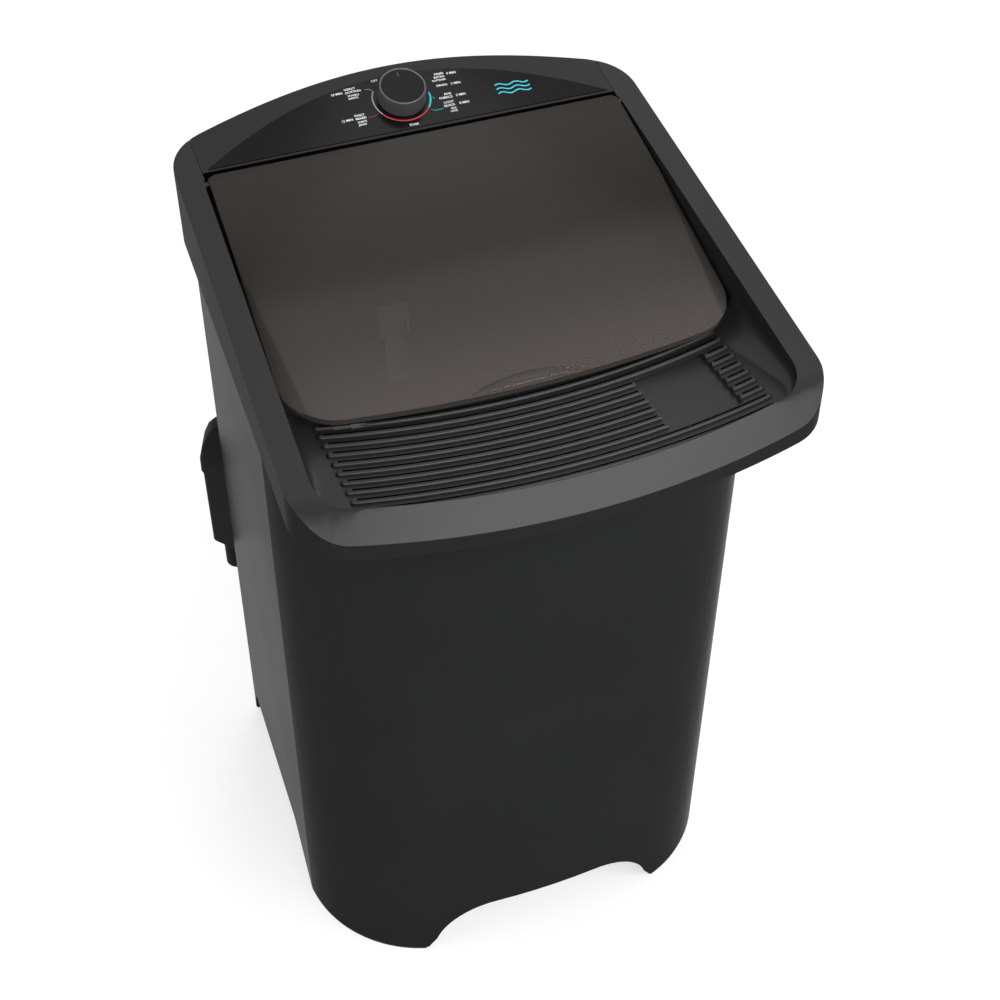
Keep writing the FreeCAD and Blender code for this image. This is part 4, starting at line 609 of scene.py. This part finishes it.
for side, name in ((-1, "washboard_sweep_left"), (1, "washboard_sweep_right")):
    piece_from(swept_corner(side), name, "machine", deck_plastic, SWEEP_SMOOTH)


# Painted shadow: narrow black strips along the crests of the washboard's ribs, which stand in for
# the shade in their slots, in millimetres

RIB_COUNT, RIB_PITCH, RIB_BOW, RIB_CENTRE = 10, 15.2, 889.0, 895.0
RIB_END, TRAY_LEFT, TRAY_RIGHT, TRAY_RIBS = 212.4, 99.0, 191.0, range(2, 8)
SLOT_WIDTH, SLOT_STEP, SLOT_LEAST, SLOT_LIFT, SLOT_DEPTH = 2.0, 8, 4, 0.12 * MM, 0.1 * MM


def rib_slot_painted_shadows():
    """Black strips of painted shadow along the ribs, which stop at the soap tray where they meet
    it.
    """
    work = bmesh.new()
    lean = math.cos(DECK_TILT)
    for index in range(RIB_COUNT):
        bow = RIB_BOW - index * RIB_PITCH
        spans = [(-RIB_END, RIB_END)]
        if index in TRAY_RIBS:
            spans = [(-RIB_END, TRAY_LEFT), (TRAY_RIGHT, RIB_END)]
        for left, right in spans:
            steps = max(SLOT_LEAST, int((right - left) / SLOT_STEP))
            points = []
            for step in range(steps + 1):
                x = left + (right - left) * step / steps
                points.append((x, DECK_FRONT + (RIB_CENTRE - math.sqrt(bow ** 2 - x ** 2)) * lean))
            ribbon(work, points, SLOT_WIDTH)
    laid_on(surface_of("washboard"), work, SLOT_LIFT)
    return work


thickened(rib_slot_painted_shadows(), "washboard_painted_slot_shadows", painted_shadow_black, SLOT_DEPTH)


# Thin lens at the middle of the lid's front edge, for the fingers, in millimetres

GRIP_HALF, GRIP_DEPTH, GRIP_STEPS = 63.0, 14.0, 28
GRIP_SEEK, GRIP_INSET, GRIP_TIP = 0.25, 2.0, 0.5
GRIP_LIFT, GRIP_THICKNESS = 0.05 * MM, 0.25 * MM


def lid_grip():
    """A flat lens whose front follows the lid's edge, which is sought from the front."""
    lid = surface_of("lid")
    work = bmesh.new()
    section = None
    for step in range(GRIP_STEPS + 1):
        x = GRIP_HALF * (2 * step / GRIP_STEPS - 1)
        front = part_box("lid")[0][1] / MM
        while lid.ray_cast(Vector((x * MM, front * MM, ABOVE)), DOWN)[0] is None:
            front += GRIP_SEEK
        front += GRIP_INSET
        back = front + GRIP_TIP + GRIP_DEPTH * (1 - (x / GRIP_HALF) ** 2)
        section = drawn(work, section, [(x * MM, y * MM, 0) for y in (front, back)])
    laid_on(lid, work, GRIP_LIFT)
    return work


thickened(lid_grip(), "lid_grip", lid_smoke, GRIP_THICKNESS, "lid")


# Knob, turned about the panel's normal: radius and height in millimetres

knob_joint = next(joint for joint in frame["joints"] if joint["name"] == "timer_turn")
KNOB_AXIS = Vector(knob_joint["axis"])
KNOB_TURN = Vector((0, 0, 1)).rotation_difference(KNOB_AXIS)
KNOB_PLACE = Matrix.Translation(Vector(knob_joint["pos_m"])) @ KNOB_TURN.to_matrix().to_4x4()
KNOB_STEPS, KNOB_FACING, KNOB_SMOOTH, RIM_SMOOTH = 96, 0.8, 40.0, 60.0
KNOB_FOOT = 1.6
KNOB_TOP = 21.5
KNOB_PROFILE = [
    (0, KNOB_FOOT), (26.2, KNOB_FOOT), (26.8, KNOB_FOOT + 0.5), (26.7, KNOB_FOOT + 2),
    (26.2, KNOB_TOP - 3), (25.6, KNOB_TOP - 1.4), (23.8, KNOB_TOP - 1.0), (22.6, KNOB_TOP - 1.2),
    (12, KNOB_TOP - 1.1), (0, KNOB_TOP - 1.0),
]
RIM_PROFILE = [
    (23.8, KNOB_TOP - 1.3), (25.7, KNOB_TOP - 1.7), (25.75, KNOB_TOP - 0.8),
    (25.3, KNOB_TOP - 0.15), (24.6, KNOB_TOP), (24.0, KNOB_TOP - 0.3), (23.8, KNOB_TOP - 1.3),
]
NOTCH_SIZE, NOTCH_ROUND = (1.6 * MM, 7.0 * MM, 0.7 * MM), 0.25 * MM
NOTCH_PLACE = (0, 17.5 * MM, (KNOB_TOP - 0.95) * MM)


def spun(profile):
    """A closed solid of revolution on the knob's axis."""
    work = bmesh.new()
    verts = [work.verts.new((radius * MM, 0, height * MM)) for radius, height in profile]
    edges = [work.edges.new(pair) for pair in zip(verts, verts[1:])]
    bmesh.ops.spin(work, geom=verts + edges, cent=(0, 0, 0), axis=(0, 0, 1), angle=2 * math.pi,
                   steps=KNOB_STEPS, use_merge=True)
    bmesh.ops.remove_doubles(work, verts=work.verts, dist=SPIN_WELD)
    bmesh.ops.recalc_face_normals(work, faces=work.faces)
    bmesh.ops.transform(work, matrix=KNOB_PLACE, verts=work.verts)
    return work


def notch():
    """The small raised bar on the knob's face that points to the programme."""
    work = bmesh.new()
    bmesh.ops.create_cube(work, size=1.0)
    bmesh.ops.scale(work, vec=NOTCH_SIZE, verts=work.verts)
    bmesh.ops.bevel(work, geom=work.edges[:], offset=NOTCH_ROUND, affect="EDGES", segments=2,
                    profile=0.5, material=-1)
    bmesh.ops.translate(work, vec=NOTCH_PLACE, verts=work.verts)
    bmesh.ops.transform(work, matrix=KNOB_PLACE, verts=work.verts)
    return work


knob_grip = piece_from(spun(KNOB_PROFILE), "knob_grip", "timer_knob", knob_plastic,
                       KNOB_SMOOTH)
# Painted shade: the darker copy goes on the faces that look along the knob's axis
paint(knob_grip, knob_face_painted_shade, lambda normal: normal.dot(KNOB_AXIS) > KNOB_FACING)
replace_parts(knob_grip, "knob")
piece_from(spun(RIM_PROFILE), "knob_rim", "timer_knob", knob_edge, RIM_SMOOTH)
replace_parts(piece_from(notch(), "knob_notch", "timer_knob", knob_notch),
            "knob_pointer")


# Printing on the panel film, laid on its curved face, in millimetres

FILM = surface_of("panel_overlay")
PANEL_TILT = math.acos(KNOB_AXIS.z)
PRINT_LIFT, INK_DEPTH = 0.12 * MM, 0.08 * MM
LETTER_STEPS, STROKE_SPREAD, LEADER = 3, 0.1 * MM, 0.55
RING_RADIUS, RING_LEAST, RING_STEP = 31.4, 6, 4
WAVE_LEFT, WAVE_LENGTH, WAVE_STEPS = 108.0, 40.0, 24
WAVE_LEVELS, WAVE_RISE, WAVE_COUNT, WAVE_WIDTH = (217.5, 223.5, 229.5), 1.6, 2, 1.7
LABELS = [
    # words, x, y, letter height, align
    ("18 MIN", -61.0, 256.6, 4.4, "RIGHT"),
    ("HEAVY", -58.3, 260.0, 4.2, "LEFT"),
    ("COTTON", -58.3, 255.6, 4.2, "LEFT"),
    ("TOWELS", -57.0, 251.0, 3.4, "LEFT"),
    ("SHEETS", -57.0, 247.4, 3.4, "LEFT"),
    ("12 MIN", -61.0, 219.4, 4.4, "RIGHT"),
    ("DAILY", -58.3, 223.2, 4.2, "LEFT"),
    ("MIXED", -58.3, 218.8, 4.2, "LEFT"),
    ("SHIRTS", -57.4, 214.2, 3.4, "LEFT"),
    ("JEANS", -57.4, 210.6, 3.4, "LEFT"),
    ("OFF", -17.5, 264.0, 4.4, "RIGHT"),
    ("RINSE", 57.4, 257.6, 4.2, "RIGHT"),
    ("EXTRA", 57.4, 253.2, 4.2, "RIGHT"),
    ("SOFTENER", 57.4, 249.2, 3.4, "RIGHT"),
    ("3 MIN", 60.6, 256.2, 4.4, "LEFT"),
    ("DRAIN", 56.4, 241.6, 4.2, "RIGHT"),
    ("2 MIN", 60.6, 241.4, 4.4, "LEFT"),
    ("FINE", 56.4, 228.6, 4.2, "RIGHT"),
    ("FABRICS", 56.4, 224.2, 4.2, "RIGHT"),
    ("5 MIN", 60.6, 224.6, 4.4, "LEFT"),
    ("LIGHT", 55.4, 217.6, 4.2, "RIGHT"),
    ("QUICK", 55.4, 213.2, 4.2, "RIGHT"),
    ("SILK", 55.4, 208.8, 3.4, "RIGHT"),
    ("LACE", 55.4, 205.2, 3.4, "RIGHT"),
    ("8 MIN", 60.6, 213.4, 4.4, "LEFT"),
    ("SOAK", 2.0, 197.4, 4.2, "CENTER"),
]


def add_words(work, words, x, y, height, align):
    """Adds words with one end or the middle of their base line at x, y on the panel's plan."""
    curve = bpy.data.curves.new("words", "FONT")
    curve.body = words
    curve.size = height * MM
    curve.align_x = align
    curve.resolution_u = LETTER_STEPS
    curve.offset = STROKE_SPREAD
    holder = bpy.data.objects.new("words", curve)
    scene.collection.objects.link(holder)
    shown = holder.evaluated_get(bpy.context.evaluated_depsgraph_get())
    mesh = bpy.data.meshes.new_from_object(shown)
    foreshortened = Matrix.Diagonal((1, math.cos(PANEL_TILT), 1, 1))
    mesh.transform(Matrix.Translation((x * MM, y * MM, 0)) @ foreshortened)
    work.from_mesh(mesh)
    bpy.data.objects.remove(holder)
    bpy.data.curves.remove(curve)
    bpy.data.meshes.remove(mesh)


def knob_ring(width, start, end):
    """Part of a flat ring round the knob, between two angles in degrees from the right."""
    work = bmesh.new()
    turn = math.radians(start)
    edge = [work.verts.new((reach * MM * math.cos(turn), reach * MM * math.sin(turn), 0))
            for reach in (RING_RADIUS, RING_RADIUS + width)]
    bmesh.ops.spin(work, geom=edge + [work.edges.new(edge)], cent=(0, 0, 0), axis=(0, 0, 1),
                   angle=math.radians(end - start),
                   steps=max(RING_LEAST, int(abs(end - start) / RING_STEP)))
    bmesh.ops.transform(work, matrix=KNOB_PLACE, verts=work.verts)
    return work


def add_waves(work):
    """Adds the plain wave sign right of the knob."""
    for level in WAVE_LEVELS:
        wave = []
        for step in range(WAVE_STEPS + 1):
            share = step / WAVE_STEPS
            rise = WAVE_RISE * math.sin(share * 2 * WAVE_COUNT * math.pi)
            wave.append((WAVE_LEFT + WAVE_LENGTH * share, level + rise))
        ribbon(work, wave, WAVE_WIDTH)


def printed(work, name, material):
    """Lays the print on the film and gives it the thickness of ink."""
    laid_on(FILM, work, PRINT_LIFT)
    thickened(work, name, material, INK_DEPTH)


white = bmesh.new()
for label in LABELS:
    add_words(white, *label)
printed(white, "print_white", white_ink)
grey = knob_ring(1.5, 148, 212)
ribbon(grey, [(-36.0, 256.6), (-30.5, 255.6), (-27.6, 252.4)], LEADER)
printed(grey, "print_grey", grey_ink)
red = knob_ring(1.9, 212, 322)
ribbon(red, [(-44.0, 219.0), (-36.0, 219.6), (-29.0, 223.0)], LEADER)
printed(red, "print_red", red_ink)
cyan = knob_ring(1.9, 322, 362)
ribbon(cyan, [(41.0, 211.6), (31.0, 211.2), (26.5, 213.6)], LEADER)
ribbon(cyan, [(36.0, 226.6), (34.5, 228.6), (33.4, 231.0)], LEADER)
add_waves(cyan)
printed(cyan, "print_cyan", cyan_ink)


# Camera

AZIMUTH, ELEVATION = math.radians(-20.96), math.radians(43.28)
CAMERA_PLACE = (-0.5117, -1.4052, 1.9508)
CAMERA_LENS, CAMERA_SENSOR, CAMERA_SIGHT = 63.0, 36.0, 60.0


def turned(direction):
    """The turn of a camera or lamp that looks along a direction."""
    return direction.to_track_quat("-Z", "Y").to_euler()


def make_camera():
    """The camera at the photograph's viewing angle."""
    data = bpy.data.cameras.new("camera")
    data.lens = CAMERA_LENS
    data.sensor_width = CAMERA_SENSOR
    data.clip_end = CAMERA_SIGHT
    camera = bpy.data.objects.new("camera", data)
    camera.location = CAMERA_PLACE
    towards_camera = Vector((math.sin(AZIMUTH) * math.cos(ELEVATION),
                             -math.cos(AZIMUTH) * math.cos(ELEVATION), math.sin(ELEVATION)))
    camera.rotation_euler = turned(-towards_camera)
    scene.collection.objects.link(camera)
    scene.camera = camera


# Floor, world and lights, in metres

FLOOR_SIZE, FLOOR_WHITE, FLOOR_ROUGHNESS, FLOOR_GLOW = 14.0, 0.98, 0.9, 1.02
# Share of the floor's own glow, which is lower near the machine and so leaves its shadow there
GLOW_FADE = {"From Min": 0.7, "From Max": 2.2, "To Min": 0.62, "To Max": 1.0}
AMBIENT = 0.55
SOFTBOXES = [
    # name, place, target, size, power in watts
    ("front softbox", (0.6, -2.05, 2.35), (0.02, -0.3, 0.83), (3.2, 0.8), 80.0),
    ("top softbox", (0.8, 0.5, 3.2), (0.0, -0.1, 0.85), (1.6, 1.0), 10.0),
    ("left softbox", (-2.1, -0.2, 1.9), (0.15, -0.1, 0.85), (1.4, 1.0), 16.0),
    ("rear softbox", (1.1, 2.3, 0.9), (0.0, 0.2, 0.5), (1.6, 1.2), 40.0),
]


def seen_directly(tree):
    """1 for rays from the camera, off gloss or through glass; 0 for light that falls on things."""
    path = tree.nodes.new("ShaderNodeLightPath").outputs
    either = math_node(tree, "MAXIMUM", path["Is Camera Ray"], path["Is Glossy Ray"])
    return math_node(tree, "MAXIMUM", either, path["Is Transmission Ray"])


def floor_material():
    """A matt pale floor that glows white to the eye, and less so near the machine."""
    material = bpy.data.materials.new("pale floor")
    material.use_nodes = True
    tree = material.node_tree
    shader = tree.nodes["Principled BSDF"]
    shader.inputs["Base Color"].default_value = (FLOOR_WHITE, FLOOR_WHITE, FLOOR_WHITE, 1.0)
    shader.inputs["Roughness"].default_value = FLOOR_ROUGHNESS
    shader.inputs["Specular IOR Level"].default_value = 0.0
    glow = tree.nodes.new("ShaderNodeEmission")
    glow.inputs["Strength"].default_value = FLOOR_GLOW
    distance = tree.nodes.new("ShaderNodeVectorMath")
    distance.operation = "LENGTH"
    tree.links.new(object_place(tree), distance.inputs[0])
    fade = tree.nodes.new("ShaderNodeMapRange")
    fade.interpolation_type = "SMOOTHSTEP"
    for name, value in GLOW_FADE.items():
        fade.inputs[name].default_value = value
    tree.links.new(distance.outputs["Value"], fade.inputs["Value"])
    share = math_node(tree, "MULTIPLY", seen_directly(tree), fade.outputs["Result"])
    mix = tree.nodes.new("ShaderNodeMixShader")
    tree.links.new(share, mix.inputs["Fac"])
    tree.links.new(shader.outputs["BSDF"], mix.inputs[1])
    tree.links.new(glow.outputs["Emission"], mix.inputs[2])
    tree.links.new(mix.outputs["Shader"], tree.nodes["Material Output"].inputs["Surface"])
    return material


def make_floor():
    """A wide plain floor, which isn't part of the machine."""
    work = bmesh.new()
    bmesh.ops.create_grid(work, x_segments=2, y_segments=2, size=FLOOR_SIZE)
    mesh = bpy.data.meshes.new("floor")
    work.to_mesh(mesh)
    work.free()
    mesh.materials.append(floor_material())
    floor = bpy.data.objects.new("floor", mesh)
    scene.collection.objects.link(floor)


def make_world():
    """White to the eye, and a dimmer even light on the machine."""
    world = bpy.data.worlds.new("studio")
    world.use_nodes = True
    tree = world.node_tree
    background = tree.nodes["Background"]
    strength = math_node(tree, "MULTIPLY", seen_directly(tree), 1.0 - AMBIENT)
    tree.links.new(math_node(tree, "ADD", strength, AMBIENT), background.inputs["Strength"])
    background.inputs["Color"].default_value = (1.0, 1.0, 1.0, 1.0)
    scene.world = world


def area_light(name, place, target, size, power):
    """A soft rectangular lamp that shines at a target."""
    data = bpy.data.lights.new(name, "AREA")
    data.shape = "RECTANGLE"
    data.size, data.size_y = size
    data.energy = power
    lamp = bpy.data.objects.new(name, data)
    lamp.location = place
    lamp.rotation_euler = turned(Vector(target) - Vector(place))
    scene.collection.objects.link(lamp)


make_camera()
make_floor()
make_world()
for softbox in SOFTBOXES:
    area_light(*softbox)
scene.view_settings.view_transform = "Standard"
